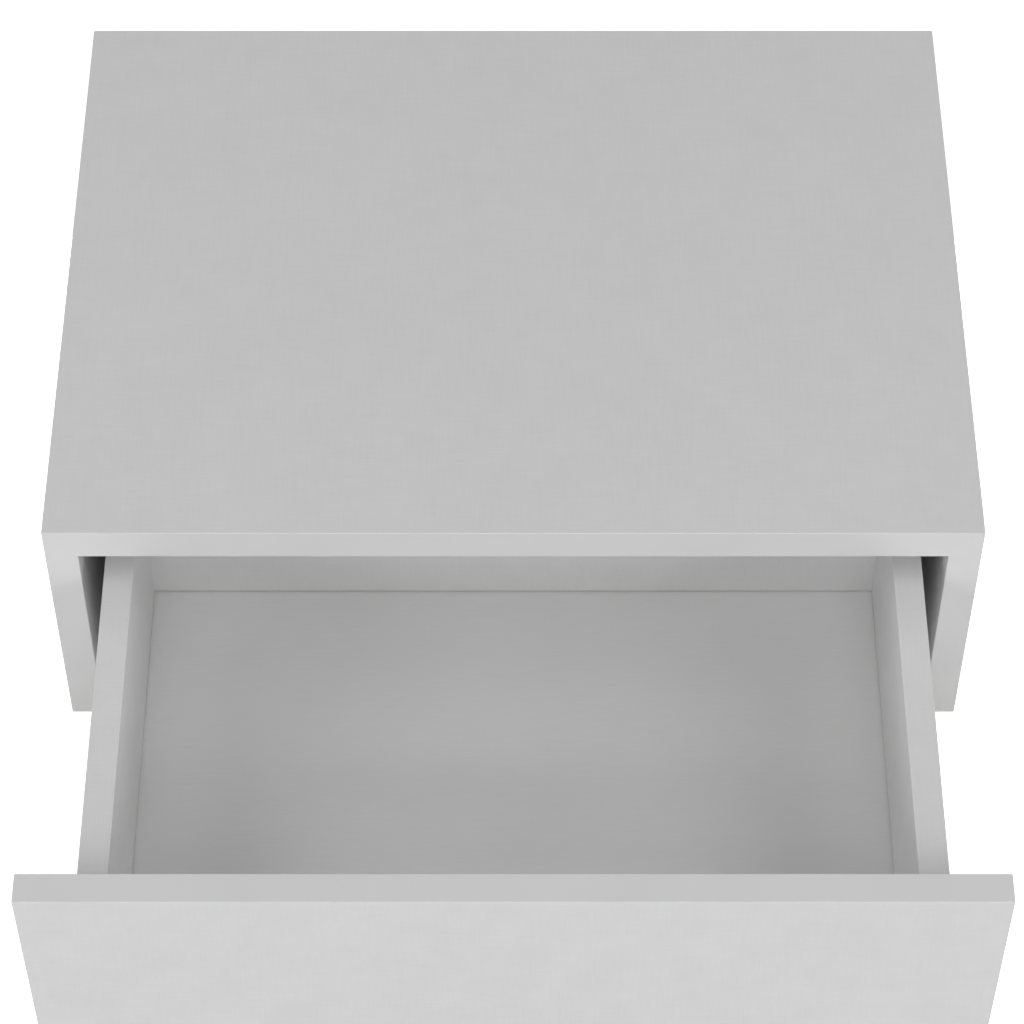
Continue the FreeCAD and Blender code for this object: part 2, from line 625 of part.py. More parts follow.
def case_rollers():
    """Front rollers on the case members, each on a pin riveted into the web."""
    near = f"({WEB_FACE} - Size.side_play - Size.roller_width)"
    y = f"{CASE_RUNNER_FRONT} + Size.case_roller_inset"
    for word, side in SIDES:
        roller(f"case_roller_{word}", side, "Size.case_roller_size", near, y,
               "Size.case_roller_level")
    pin = turned("case_axle_pattern", stepped_pin([
        ("0", "Size.axle_head_height", "Size.axle_head_size"),
        ("Size.axle_head_height", f"Size.runner_gap - {near} + Size.axle_head_height "
                                  "+ Size.side_play / 2", "Size.axle_size")]))
    start = f"{BOX_HALF} + {near} - Size.axle_head_height - Size.side_play / 2"
    group("case_roller_pins", pin,
          [(mirrored(side, start), y, f"{BOX_LOW} + Size.case_roller_level", (side, 0, 0))
           for _, side in SIDES])


def drawer_rollers():
    """Rear rollers on the drawer members, each on a pin riveted into the leg."""
    near = "(Size.steel + Size.side_play)"
    y = f"{DRAWER_RUNNER_FRONT} + Size.runner_length - Size.drawer_roller_inset"
    for word, side in SIDES:
        roller(f"drawer_roller_{word}", side, "Size.drawer_roller_size", near, y,
               "Size.drawer_roller_level")
    shank = f"{near} + Size.roller_width + Size.side_play / 2"
    pin = turned("drawer_axle_pattern", stepped_pin([
        ("0", shank, "Size.axle_size"),
        (shank, f"{shank} + Size.axle_head_height", "Size.axle_head_size")]))
    group("drawer_roller_pins", pin,
          [(mirrored(side, BOX_HALF), y, f"{BOX_LOW} + Size.drawer_roller_level", (side, 0, 0))
           for _, side in SIDES])


# -------------------------------------------------------------------- the fasteners

def cam_locks():
    """Cam locks of the case: in the sides, under the bottom and behind the back."""
    cam = turned("cam_pattern", stepped_pin([("0", "Size.cam_height", "Size.cam_size")]))
    reach = f"{INNER_HALF} - Size.cam_reach"
    seats = []
    for _, side in SIDES:
        for y in TOP_CAMS:
            seats.append((mirrored(side, INNER_HALF), f"{y} - Size.case_depth",
                          f"{CEILING} - Size.cam_reach", (side, 0, 0)))
        for y in BOTTOM_CAMS:
            seats.append((mirrored(side, reach), f"{y} - Size.case_depth", UNDERSIDE, (0, 0, 1)))
        for z in BACK_CAMS:
            seats.append((mirrored(side, reach), "0", z, (0, -1, 0)))
    group("cam_locks", cam, seats)


def bolt_outline(reach):
    """Cam bolt: thread in the board, then collar, shank and head up to the cam."""
    tip = f"{reach} - Size.cam_size / 2 - Size.drill_play"
    head = f"{tip} - Size.axle_head_height"
    return stepped_pin([("-Size.bolt_thread", "0", "Size.bolt_thread_size"),
                        ("0", head, "Size.bolt_size"), (head, tip, "Size.bolt_head_size")])


def cam_bolts():
    """Cam bolts of the case, one for each cam lock."""
    bolt = turned("cam_bolt_pattern", bolt_outline("Size.cam_reach"))
    middle = "Size.board_thickness / 2"
    seats = []
    for _, side in SIDES:
        for y in TOP_CAMS:
            seats.append((mirrored(side, f"{INNER_HALF} + {middle}"), f"{y} - Size.case_depth",
                          CEILING, (0, 0, -1)))
        for y in BOTTOM_CAMS:
            seats.append((mirrored(side, INNER_HALF), f"{y} - Size.case_depth",
                          f"{UNDERSIDE} + {middle}", (-side, 0, 0)))
        for z in BACK_CAMS:
            seats.append((mirrored(side, INNER_HALF), f"-{middle}", z, (-side, 0, 0)))
    group("cam_bolts", bolt, seats)


def dowel_pattern():
    """Wooden dowel with chamfered ends; X is zero at the joint it crosses."""
    start, end = "-Size.dowel_sunk", "Size.dowel_length - Size.dowel_sunk"
    chamfer = "Size.band_thickness"
    radius = "Size.dowel_size / 2"
    return turned("dowel_pattern", [
        (start, "0"), (start, f"{radius} - {chamfer}"), (f"{start} + {chamfer}", radius),
        (f"{end} - {chamfer}", radius), (end, f"{radius} - {chamfer}"), (end, "0")])


def case_dowels(dowel):
    middle = "Size.board_thickness / 2"
    seats = []
    for _, side in SIDES:
        for y in TOP_DOWELS:
            seats.append((mirrored(side, f"{INNER_HALF} + {middle}"), f"{y} - Size.case_depth",
                          CEILING, (0, 0, -1)))
        for y in BOTTOM_DOWELS:
            seats.append((mirrored(side, INNER_HALF), f"{y} - Size.case_depth",
                          f"{UNDERSIDE} + {middle}", (-side, 0, 0)))
        for z in BACK_DOWELS:
            seats.append((mirrored(side, INNER_HALF), f"-{middle}", z, (-side, 0, 0)))
    group("case_dowels", dowel, seats)


def drawer_fasteners(dowel):
    """Cam locks, cam bolts and dowels at the drawer front, long screws at its back."""
    middle = f"{BOX_HALF} - Size.box_board / 2"
    cam = turned("box_cam_pattern", stepped_pin([("0", "Size.box_cam_height", "Size.cam_size")]))
    bolt = turned("box_bolt_pattern", bolt_outline("Size.box_cam_reach"))
    screw = turned("long_screw_pattern", stepped_pin([
        ("0", "Size.screw_head_height", "Size.screw_head_size"),
        ("Size.screw_head_height", "Size.screw_length", "Size.screw_size")]))
    levels = [f"{BOX_LOW} + {z}" for z in BOX_FITTINGS]
    group("drawer_cam_locks", cam,
          [(mirrored(side, BOX_HALF), f"{FRONT_BACK} + Size.box_cam_reach", z, (-side, 0, 0))
           for _, side in SIDES for z in levels])
    group("drawer_cam_bolts", bolt,
          [(mirrored(side, middle), FRONT_BACK, z, (0, 1, 0)) for _, side in SIDES for z in levels])
    group("drawer_dowels", dowel,
          [(mirrored(side, middle), FRONT_BACK, f"{BOX_LOW} + {BOX_DOWEL}", (0, 1, 0))
           for _, side in SIDES])
    group("drawer_back_screws", screw,
          [(mirrored(side, BOX_HALF), f"{BOX_REAR} - Size.box_board / 2", z, (-side, 0, 0))
           for _, side in SIDES for z in levels])


def runner_screws():
    """Flush screws of the case members and pan-head screws of the drawer members."""
    euro = turned("euro_screw_pattern", stepped_pin([
        ("0", "Size.steel", "Size.euro_head_size"),
        ("Size.steel", "Size.euro_length", "Size.euro_size")]))
    level = f"{BOX_LOW} + (Size.channel_low + Size.channel_high) / 2"
    group("case_runner_screws", euro,
          [(mirrored(side, f"{BOX_HALF} + {WEB_FACE}"), f"{CASE_RUNNER_FRONT} + {y}", level,
            (side, 0, 0))
           for _, side in SIDES for y in ("Size.euro_first", "Size.euro_second")])
    small = turned("small_screw_pattern", stepped_pin([
        ("-Size.small_screw_head_height", "0", "Size.small_screw_head_size"),
        ("0", "Size.small_screw_length", "Size.small_screw_size")]))
    group("drawer_runner_screws", small,
          [(mirrored(side, f"{BOX_HALF} - Size.small_screw_inset"), f"{DRAWER_RUNNER_FRONT} + {y}",
            f"{BOX_LOW} - Size.steel", (0, 0, 1))
           for _, side in SIDES for y in ("Size.small_screw_first", "Size.small_screw_second")])


# -------------------------------------------------------------- build, check, write

def build_all():
    top_panel()
    bottom_panel()
    back_panel()
    case_bands()
    drawer_front()
    front_bands()
    drawer_back()
    drawer_bottom()
    bumper_pads()
    for word, side in SIDES:
        side_panel(word, side)
        drawer_side(word, side)
        case_runner(word, side)
        drawer_runner(word, side)
    case_rollers()
    drawer_rollers()
    cam_locks()
    cam_bolts()
    dowel = dowel_pattern()
    case_dowels(dowel)
    drawer_fasteners(dowel)
    runner_screws()
    DOC.recompute()


def sub_parts():
    """Objects that are pieces of the nightstand: bodies, strips and groups."""
    kinds = ("PartDesign::Body", "Part::Box", "Part::Feature")
    return [item for item in DOC.Objects
            if item.TypeId in kinds and not item.Label.endswith("_pattern")]


def check_document():
    """Stop on a failed object, a cut that removes nothing or a faulty shape."""
    for item in DOC.Objects:
        if "Invalid" in item.State or "Error" in item.State:
            raise RuntimeError(f"{item.Label} failed: {item.State}")
        if item.TypeId == "PartDesign::Pocket":
            if item.Shape.Volume >= item.BaseFeature.Shape.Volume - 1e-6:
                raise RuntimeError(f"{item.Label} removes nothing")
    for item in sub_parts():
        if item.Shape.isNull() or not item.Shape.isValid():
            raise RuntimeError(f"{item.Label} has no valid shape")


def write_parts():
    os.makedirs("parts", exist_ok=True)
    for item in sub_parts():
        item.Shape.exportStep(f"parts/{item.Label}.step")
        print(f"{item.Label}: {len(item.Shape.Solids)} solid, {item.Shape.Volume / 1000:.2f} cm3")


build_all()
check_document()
write_parts()
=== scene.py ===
import json
import logging
import math
from collections.abc import Iterable, Sequence
from dataclasses import dataclass
from enum import Enum

import bmesh
import bpy
from bmesh.types import BMEdge, BMesh
from bpy.types import Material, Node, NodeSocket, NodeTree, Object
from mathutils import Matrix, Vector


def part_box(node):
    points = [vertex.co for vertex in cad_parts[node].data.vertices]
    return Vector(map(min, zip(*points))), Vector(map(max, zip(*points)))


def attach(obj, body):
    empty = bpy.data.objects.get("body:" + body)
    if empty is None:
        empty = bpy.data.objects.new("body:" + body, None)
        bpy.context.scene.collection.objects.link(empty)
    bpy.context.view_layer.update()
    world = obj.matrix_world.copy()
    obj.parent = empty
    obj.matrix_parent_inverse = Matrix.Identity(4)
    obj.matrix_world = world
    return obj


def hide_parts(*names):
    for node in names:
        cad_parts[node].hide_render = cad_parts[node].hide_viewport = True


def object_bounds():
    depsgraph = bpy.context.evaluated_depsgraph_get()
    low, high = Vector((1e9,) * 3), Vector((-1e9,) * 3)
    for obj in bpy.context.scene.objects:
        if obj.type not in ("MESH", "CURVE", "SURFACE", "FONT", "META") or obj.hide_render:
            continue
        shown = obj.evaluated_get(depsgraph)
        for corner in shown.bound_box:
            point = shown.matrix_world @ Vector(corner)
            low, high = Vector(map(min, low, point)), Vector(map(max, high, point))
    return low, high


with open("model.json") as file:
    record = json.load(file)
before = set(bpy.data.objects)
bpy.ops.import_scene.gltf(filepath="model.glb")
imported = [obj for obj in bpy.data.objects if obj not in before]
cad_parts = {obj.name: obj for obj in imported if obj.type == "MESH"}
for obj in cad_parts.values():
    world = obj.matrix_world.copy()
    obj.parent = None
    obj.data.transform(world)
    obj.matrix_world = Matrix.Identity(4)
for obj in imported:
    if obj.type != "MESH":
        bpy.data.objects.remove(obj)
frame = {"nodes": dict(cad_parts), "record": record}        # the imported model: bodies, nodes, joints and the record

# Looks of a wall-hung nightstand with one drawer on roller runners.
# Metres, +Z up, the front faces -Y and the wall is the plane y = 0.

MM = 0.001
# Corners nearer than this are one corner
SAME_POINT = 0.001 * MM
# An edge nearer than this to a box's face lies on it
ON_FACE = 0.02 * MM
# Triangles that meet at less than this are one flat face
FLAT_ANGLE = math.radians(0.5)
WHITE = "#FFFFFF"
CAD_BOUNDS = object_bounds()
BODY_OF = {node: body for body, nodes in frame["record"]["behaviour"]["bodies"].items()
           for node in nodes}
# A point of a turned outline, as distance along the axis and from it, in millimetres
Point = tuple[float, float]
# A fitting's place, and the direction of its +X
Seat = tuple[Vector, Vector]
log = logging.getLogger("nightstand")


# ------------------------------------------------------------------ places and boxes

class Face(Enum):
    """A face of an upright box: its axis and which end of it."""

    LEFT = (0, -1)
    RIGHT = (0, 1)
    FRONT = (1, -1)
    REAR = (1, 1)
    BOTTOM = (2, -1)
    TOP = (2, 1)


class Side(Enum):
    """Left or right half of the nightstand, seen from the front."""

    LEFT = -1
    RIGHT = 1

    @property
    def word(self) -> str:
        """The word that node names end in."""
        return self.name.lower()


class End(Enum):
    """End of a piece that lies sideways: nearer the nightstand's middle, or farther."""

    INNER = -1
    OUTER = 1


@dataclass(frozen=True)
class Box:
    """Upright box between two corners, in metres."""

    low: Vector
    high: Vector

    @classmethod
    def of_node(cls, node: str) -> "Box":
        """Box of one CAD node at rest."""
        return cls(*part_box(node))

    @property
    def size(self) -> Vector:
        """Length along each axis."""
        return self.high - self.low

    @property
    def centre(self) -> Vector:
        """Middle point."""
        return (self.low + self.high) / 2

    def level(self, face: Face) -> float:
        """Coordinate of one face's plane."""
        axis, end = face.value
        return (self.high if end > 0 else self.low)[axis]

    def touches(self, point: Vector, face: Face, reach: float) -> bool:
        """Whether a point is as near to a face's plane as the reach."""
        return abs(point[face.value[0]] - self.level(face)) <= reach


# --------------------------------------------------------------- shapes out of bmesh

def block(box: Box) -> BMesh:
    """Plain rectangular block, ready to be rounded.

    Args:
        box: where the block is.

    Returns:
        A mesh of six faces.
    """
    mesh = bmesh.new()
    bmesh.ops.create_cube(mesh, size=1.0)
    bmesh.ops.scale(mesh, vec=box.size, verts=mesh.verts)
    bmesh.ops.translate(mesh, vec=box.centre, verts=mesh.verts)
    return mesh


def joined_copy(node: str) -> BMesh:
    """Copy of a CAD node with its loose triangles joined at their corners.

    Args:
        node: name of the CAD node.

    Returns:
        The joined mesh, still in triangles.
    """
    mesh = bmesh.new()
    mesh.from_mesh(frame["nodes"][node].data)
    bmesh.ops.remove_doubles(mesh, verts=mesh.verts, dist=SAME_POINT)
    return mesh


def whole_faced_copy(node: str) -> BMesh:
    """Copy of a CAD node with its flat triangles joined into whole faces.

    Args:
        node: name of the CAD node.

    Returns:
        The joined mesh, with the node's holes and grooves.
    """
    mesh = joined_copy(node)
    bmesh.ops.dissolve_limit(mesh, angle_limit=FLAT_ANGLE, verts=mesh.verts,
                             edges=mesh.edges, delimit=set())
    return mesh


def round_edges(mesh: BMesh, edges: Iterable[BMEdge], radius: float,
                segments: int = 3) -> None:
    """Round the given edges.

    Args:
        mesh: the mesh to change.
        edges: which edges are rounded.
        radius: width that the rounding takes off each face.
        segments: strips across the rounding.
    """
    bmesh.ops.bevel(mesh, geom=list(edges), offset=radius, offset_type="OFFSET",
                    segments=segments, profile=0.5, affect="EDGES", clamp_overlap=True,
                    material=-1)


def outer_edges(mesh: BMesh, box: Box, faces: Iterable[Face]) -> list[BMEdge]:
    """Edges that lie where two of the named faces of the box meet.

    Args:
        mesh: the mesh to look through.
        box: the box that the mesh fills.
        faces: the faces that can be touched on the finished piece.

    Returns:
        The edges to round.
    """
    wanted = list(faces)

    def meets(edge: BMEdge) -> bool:
        """Whether both ends lie on two of the wanted faces."""
        shared = [face for face in wanted
                  if all(box.touches(vert.co, face, ON_FACE) for vert in edge.verts)]
        return len(shared) >= 2

    return [edge for edge in mesh.edges if meets(edge)]


def quarter_round(flat: Point, steep: Point, steps: int = 4) -> list[Point]:
    """Quarter of an ellipse in a turned outline.

    Args:
        flat: the end where the curve runs straight away from the axis.
        steep: the end where it runs along the axis.
        steps: straight pieces that it is drawn with.

    Returns:
        Points from the flat end to the steep one, both included.
    """
    points = []
    for step in range(steps + 1):
        angle = math.radians(90) * step / steps
        points.append((steep[0] + (flat[0] - steep[0]) * math.cos(angle),
                       flat[1] + (steep[1] - flat[1]) * math.sin(angle)))
    return points


def turned(outline: Sequence[Point], steps: int) -> BMesh:
    """Shape turned about the X axis.

    Args:
        outline: points that start and end on the axis, or end where they start.
        steps: strips round the turn.

    Returns:
        A closed mesh whose faces point outwards.
    """
    mesh = bmesh.new()
    points = [mesh.verts.new((along * MM, out * MM, 0.0)) for along, out in outline]
    lines = [mesh.edges.new(pair) for pair in zip(points, points[1:])]
    bmesh.ops.spin(mesh, geom=points + lines, cent=(0, 0, 0), axis=(1, 0, 0),
                   angle=2 * math.pi, steps=steps, use_merge=True)
    bmesh.ops.remove_doubles(mesh, verts=mesh.verts, dist=SAME_POINT)
    bmesh.ops.recalc_face_normals(mesh, faces=mesh.faces)
    return mesh


def shade_smooth(mesh: BMesh, sharp_degrees: float) -> None:
    """Shade faces smoothly, apart from sharp edges.

    Args:
        mesh: the mesh to shade.
        sharp_degrees: an edge that turns more than this stays crisp.
    """
    for face in mesh.faces:
        face.smooth = True
    for edge in mesh.edges:
        edge.smooth = edge.calc_face_angle(math.pi) < math.radians(sharp_degrees)


def carve(mesh: BMesh, cutter: BMesh) -> BMesh:
    """Take one shape out of another.

    Args:
        mesh: the shape that is cut. It is freed.
        cutter: the shape taken out of it. It is freed.

    Returns:
        The cut shape.
    """
    scratch = []
    for shape in (mesh, cutter):
        data = bpy.data.meshes.new("scratch")
        shape.to_mesh(data)
        shape.free()
        item = bpy.data.objects.new("scratch", data)
        bpy.context.scene.collection.objects.link(item)
        scratch.append(item)
    cut = scratch[0].modifiers.new("cut", "BOOLEAN")
    cut.operation = "DIFFERENCE"
    cut.solver = "EXACT"
    # The arms of a cross recess's cutter run through each other
    cut.use_self = True
    cut.object = scratch[1]
    graph = bpy.context.evaluated_depsgraph_get()
    result = bmesh.new()
    result.from_object(scratch[0], graph)
    for item in scratch:
        data = item.data
        bpy.data.objects.remove(item)
        bpy.data.meshes.remove(data)
    return result


def islands(node: str) -> list[Box]:
    """Find the separate solids in one CAD node.

    Args:
        node: name of the CAD node.

    Returns:
        The box of each solid, in the order of the node's corners.
    """
    mesh = joined_copy(node)
    unseen = set(mesh.verts)
    boxes = []
    for start in list(mesh.verts):
        if start not in unseen:
            continue
        unseen.discard(start)
        queue, found = [start], [start.co.copy()]
        while queue:
            vert = queue.pop()
            for edge in vert.link_edges:
                other = edge.other_vert(vert)
                if other in unseen:
                    unseen.discard(other)
                    queue.append(other)
                    found.append(other.co.copy())
        low = Vector(min(point[axis] for point in found) for axis in range(3))
        high = Vector(max(point[axis] for point in found) for axis in range(3))
        boxes.append(Box(low, high))
    mesh.free()
    return boxes


def seated_copies(pattern: BMesh, seats: Iterable[Seat]) -> BMesh:
    """Copies of a turned pattern, each with its X axis along a direction.

    Args:
        pattern: the shape, with x = 0 at its seat. It is freed.
        seats: where each copy goes.

    Returns:
        One mesh that holds all copies.
    """
    data = bpy.data.meshes.new("scratch")
    pattern.to_mesh(data)
    pattern.free()
    result = bmesh.new()
    for place, direction in seats:
        first = len(result.verts)
        result.from_mesh(data)
        result.verts.ensure_lookup_table()
        turn = Vector((1, 0, 0)).rotation_difference(direction).to_matrix().to_4x4()
        bmesh.ops.transform(result, matrix=Matrix.Translation(place) @ turn,
                            verts=result.verts[first:])
    bpy.data.meshes.remove(data)
    return result


def side_seats(node: str, end: End) -> list[Seat]:
    """Seats for fittings that go in sideways.

    Args:
        node: CAD node of the fittings.
        end: the end that their heads are at.

    Returns:
        A seat at that end of each solid, pointing to the other end.
    """
    seats = []
    for box in islands(node):
        towards_head = Vector((end.value * math.copysign(1, box.centre.x), 0, 0))
        seats.append((box.centre + towards_head * box.size.x / 2, -towards_head))
    return seats


def finished(mesh: BMesh, node: str, word: str, coats: Sequence[Material]) -> Object:
    """Turn a mesh into the shown piece that stands for a CAD node.

    Args:
        mesh: the shape, already in place. It is freed.
        node: the CAD node that the piece stands for.
        word: what kind of piece it is, added to the node's name.
        coats: materials, in the order of the mesh's material numbers.

    Returns:
        The piece, riding on the node's body.
    """
    if not mesh.faces:
        raise ValueError(f"{node} has no faces left")
    data = bpy.data.meshes.new(f"{node}_{word}")
    mesh.to_mesh(data)
    mesh.free()
    for coat in coats:
        data.materials.append(coat)
    piece = bpy.data.objects.new(f"{node}_{word}", data)
    bpy.context.scene.collection.objects.link(piece)
    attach(piece, BODY_OF[node])
    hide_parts(node)
    log.info("%s: %d faces", piece.name, len(data.polygons))
    return piece


def dress_node(node: str, coat: Material) -> None:
    """Give a CAD node that stays as it is its material.

    Args:
        node: name of the CAD node.
        coat: the material.
    """
    data = frame["nodes"][node].data
    data.materials.clear()
    data.materials.append(coat)
    log.info("%s: carried over", node)


# -------------------------------------------------------------------------- finishes

def linear(code: str) -> tuple[float, float, float, float]:
    """Turn an sRGB hex code into a linear colour.

    Args:
        code: six digits after a hash, such as "#C8C8C6".

    Returns:
        Linear red, green and blue, and full opacity.
    """
    channels = [int(code[start:start + 2], 16) / 255 for start in (1, 3, 5)]
    curved = [c / 12.92 if c <= 0.04045 else ((c + 0.055) / 1.055) ** 2.4 for c in channels]
    return (*curved, 1.0)


def per_metre(size_mm: float) -> float:
    """Scale of a pattern whose features are as wide as the size, on metre coordinates."""
    return 1.0 / (size_mm * MM)


def add_node(tree: NodeTree, kind: str, settings: dict[str, object] | None = None,
             inputs: dict[str | int, object] | None = None) -> Node:
    """Add a shader node with its settings, its values and the links into it.

    Args:
        tree: the material's node tree.
        kind: the node's type name.
        settings: attributes of the node.
        inputs: values or output sockets by input name or number.

    Returns:
        The new node.
    """
    node = tree.nodes.new(kind)
    for name, setting in (settings or {}).items():
        setattr(node, name, setting)
    for key, given in (inputs or {}).items():
        if isinstance(given, NodeSocket):
            tree.links.new(given, node.inputs[key])
        else:
            node.inputs[key].default_value = given
    return node


def streaks(tree: NodeTree, place: NodeSocket, sizes_mm: Sequence[float]) -> NodeSocket:
    """Noise drawn out into streaks.

    Args:
        tree: the material's node tree.
        place: a point's place on the object, in metres.
        sizes_mm: how wide a streak is along each axis.

    Returns:
        The streaks, about 0 to 1.
    """
    drawn = add_node(tree, "ShaderNodeMapping", None,
                     {"Vector": place, "Scale": [per_metre(size) for size in sizes_mm]})
    noise = add_node(tree, "ShaderNodeTexNoise", None,
                     {"Vector": drawn.outputs[0], "Scale": 1.0, "Detail": 1.0})
    return noise.outputs[0]


def crossed_streaks(tree: NodeTree, place: NodeSocket, width_mm: float, length_mm: float,
                    axes: Sequence[int]) -> NodeSocket:
    """Streaks that cross each other, all equally strong.

    Args:
        tree: the material's node tree.
        place: a point's place on the object, in metres.
        width_mm: how wide a streak is across.
        length_mm: how long it is.
        axes: the axes that streaks lie across.

    Returns:
        The mean of the streaks, about 0 to 1.
    """
    mean: NodeSocket | float = 0.0
    for axis in axes:
        sizes = [length_mm] * 3
        sizes[axis] = width_mm
        mean = add_node(tree, "ShaderNodeMath", {"operation": "MULTIPLY_ADD"},
                        {0: streaks(tree, place, sizes), 1: 1 / len(axes), 2: mean}).outputs[0]
    return mean


@dataclass(frozen=True)
class Finish:
    """What every finish has: two tones, a range of roughness and a relief.

    A finish says in its pattern how its tone and its relief go over the surface. The spans
    are the parts of those values that go from dark to light and from smooth to rough.
    """

    name: str
    dark: str
    light: str
    roughness: tuple[float, float]
    relief_mm: float
    ior: float = 1.5
    tone_span: tuple[float, float] = (0.3, 0.7)
    rough_span: tuple[float, float] = (0.3, 0.7)

    def pattern(self, tree: NodeTree, place: NodeSocket) -> tuple[NodeSocket, NodeSocket]:
        """Tone and relief over the surface.

        Args:
            tree: the material's node tree.
            place: a point's place on the object, in metres.

        Returns:
            The tone and the relief, both about 0 to 1.
        """
        raise NotImplementedError

    def even_values(self) -> dict[str, object]:
        """Values of the shader that are the same all over the surface."""
        return {"IOR": self.ior}

    def build(self) -> Material:
        """Make the material.

        Returns:
            A material whose colour, roughness and bump follow the finish's pattern.
        """
        material = bpy.data.materials.new(self.name)
        material.use_nodes = True
        tree = material.node_tree
        tree.nodes.clear()
        place = add_node(tree, "ShaderNodeTexCoord").outputs["Object"]
        tone, relief = self.pattern(tree, place)
        shade = add_node(tree, "ShaderNodeMapRange", None,
                         {"Value": tone, "From Min": self.tone_span[0],
                          "From Max": self.tone_span[1]})
        base = add_node(tree, "ShaderNodeMix", {"data_type": "RGBA"},
                        {0: shade.outputs[0], 6: linear(self.dark), 7: linear(self.light)})
        gloss = add_node(tree, "ShaderNodeMapRange", None,
                         {"Value": relief, "From Min": self.rough_span[0],
                          "From Max": self.rough_span[1], "To Min": self.roughness[0],
                          "To Max": self.roughness[1]})
        bump = add_node(tree, "ShaderNodeBump", None,
                        {"Distance": self.relief_mm * MM, "Height": relief})
        shader = add_node(tree, "ShaderNodeBsdfPrincipled", None,
                          {"Base Color": base.outputs[2], "Roughness": gloss.outputs[0],
                           "Normal": bump.outputs[0], **self.even_values()})
        add_node(tree, "ShaderNodeOutputMaterial", None, {"Surface": shader.outputs[0]})
        return material


@dataclass(frozen=True)
class PressedMelamine(Finish):
    """Resin-soaked decor paper pressed on particleboard with a fine linen plate.

    Matt and even, with threads too faint to see from afar and a slow drift of tone.
    """

    name: str = "melamine_pressed_linen"
    dark: str = "#D8D8D8"
    light: str = "#DCDCDC"
    # Smoother on the threads' backs, which the plate presses hardest
    roughness: tuple[float, float] = (0.58, 0.50)
    relief_mm: float = 0.014
    tone_span: tuple[float, float] = (0.38, 0.62)
    rough_span: tuple[float, float] = (0.4, 0.6)
    # About twice the real threads, which are too fine to show
    thread_mm: float = 0.9
    thread_length_mm: float = 16.0
    drift_mm: float = 60.0
    drift_share: float = 0.22

    def pattern(self, tree: NodeTree, place: NodeSocket) -> tuple[NodeSocket, NodeSocket]:
        """Threads that run along all three axes, so that each face shows them crossed.

        Args:
            tree: the material's node tree.
            place: a point's place on the object, in metres.

        Returns:
            Threads under a slow drift, and the threads alone.
        """
        threads = crossed_streaks(tree, place, self.thread_mm, self.thread_length_mm, (0, 1, 2))
        drift = add_node(tree, "ShaderNodeTexNoise", None,
                         {"Vector": place, "Scale": per_metre(self.drift_mm)})
        tone = add_node(tree, "ShaderNodeMix", None,
                        {0: self.drift_share, 2: threads, 3: drift.outputs[0]})
        return tone.outputs[0], threads


@dataclass(frozen=True)
class ExtrudedBand(Finish):
    """ABS edge band, extruded, glued on and scraped flush.

    Matt plastic with a fine grain and a slow drift of tone from one coil.
    """

    name: str = "abs_extruded_band"
    dark: str = "#D8D8D8"
    light: str = "#DBDBDB"
    roughness: tuple[float, float] = (0.44, 0.54)
    relief_mm: float = 0.006
    ior: float = 1.53
    # Coarser than the real grain, which is too fine to show
    grain_mm: float = 0.5
    drift_mm: float = 45.0

    def pattern(self, tree: NodeTree, place: NodeSocket) -> tuple[NodeSocket, NodeSocket]:
        """A slow drift of tone over a fine grain.

        Args:
            tree: the material's node tree.
            place: a point's place on the object, in metres.

        Returns:
            The drift and the grain.
        """
        drift = add_node(tree, "ShaderNodeTexNoise", None,
                         {"Vector": place, "Scale": per_metre(self.drift_mm)})
        grain = add_node(tree, "ShaderNodeTexNoise", None,
                         {"Vector": place, "Scale": per_metre(self.grain_mm)})
        return drift.outputs[0], grain.outputs[0]


@dataclass(frozen=True)
class SawnParticleboard(Finish):
    """Three-layer particleboard where it is sawn or drilled.

    Tan and brown wood flakes in resin, rough, with small dark pits between them.
    """

    name: str = "particleboard_sawn"
    dark: str = "#A5865D"
    light: str = "#DEC9A2"
    roughness: tuple[float, float] = (0.75, 0.9)
    relief_mm: float = 0.25
    tone_span: tuple[float, float] = (0.2, 0.75)
    flake_mm: float = 2.0
    chip_mm: float = 0.7
    chip_share: float = 0.5

    def pattern(self, tree: NodeTree, place: NodeSocket) -> tuple[NodeSocket, NodeSocket]:
        """Flakes with a tone of their own, broken up by finer chips.

        Args:
            tree: the material's node tree.
            place: a point's place on the object, in metres.

        Returns:
            The flakes and chips, twice.
        """
        flakes = add_node(tree, "ShaderNodeTexVoronoi", {"feature": "F1"},
                          {"Vector": place, "Scale": per_metre(self.flake_mm)})
        tones = add_node(tree, "ShaderNodeSeparateColor", None,
                         {"Color": flakes.outputs["Color"]})
        chips = add_node(tree, "ShaderNodeTexNoise", None,
                         {"Vector": place, "Scale": per_metre(self.chip_mm), "Detail": 4.0})
        tone = add_node(tree, "ShaderNodeMix", None,
                        {0: self.chip_share, 2: tones.outputs[0], 3: chips.outputs[0]})
        return tone.outputs[0], tone.outputs[0]


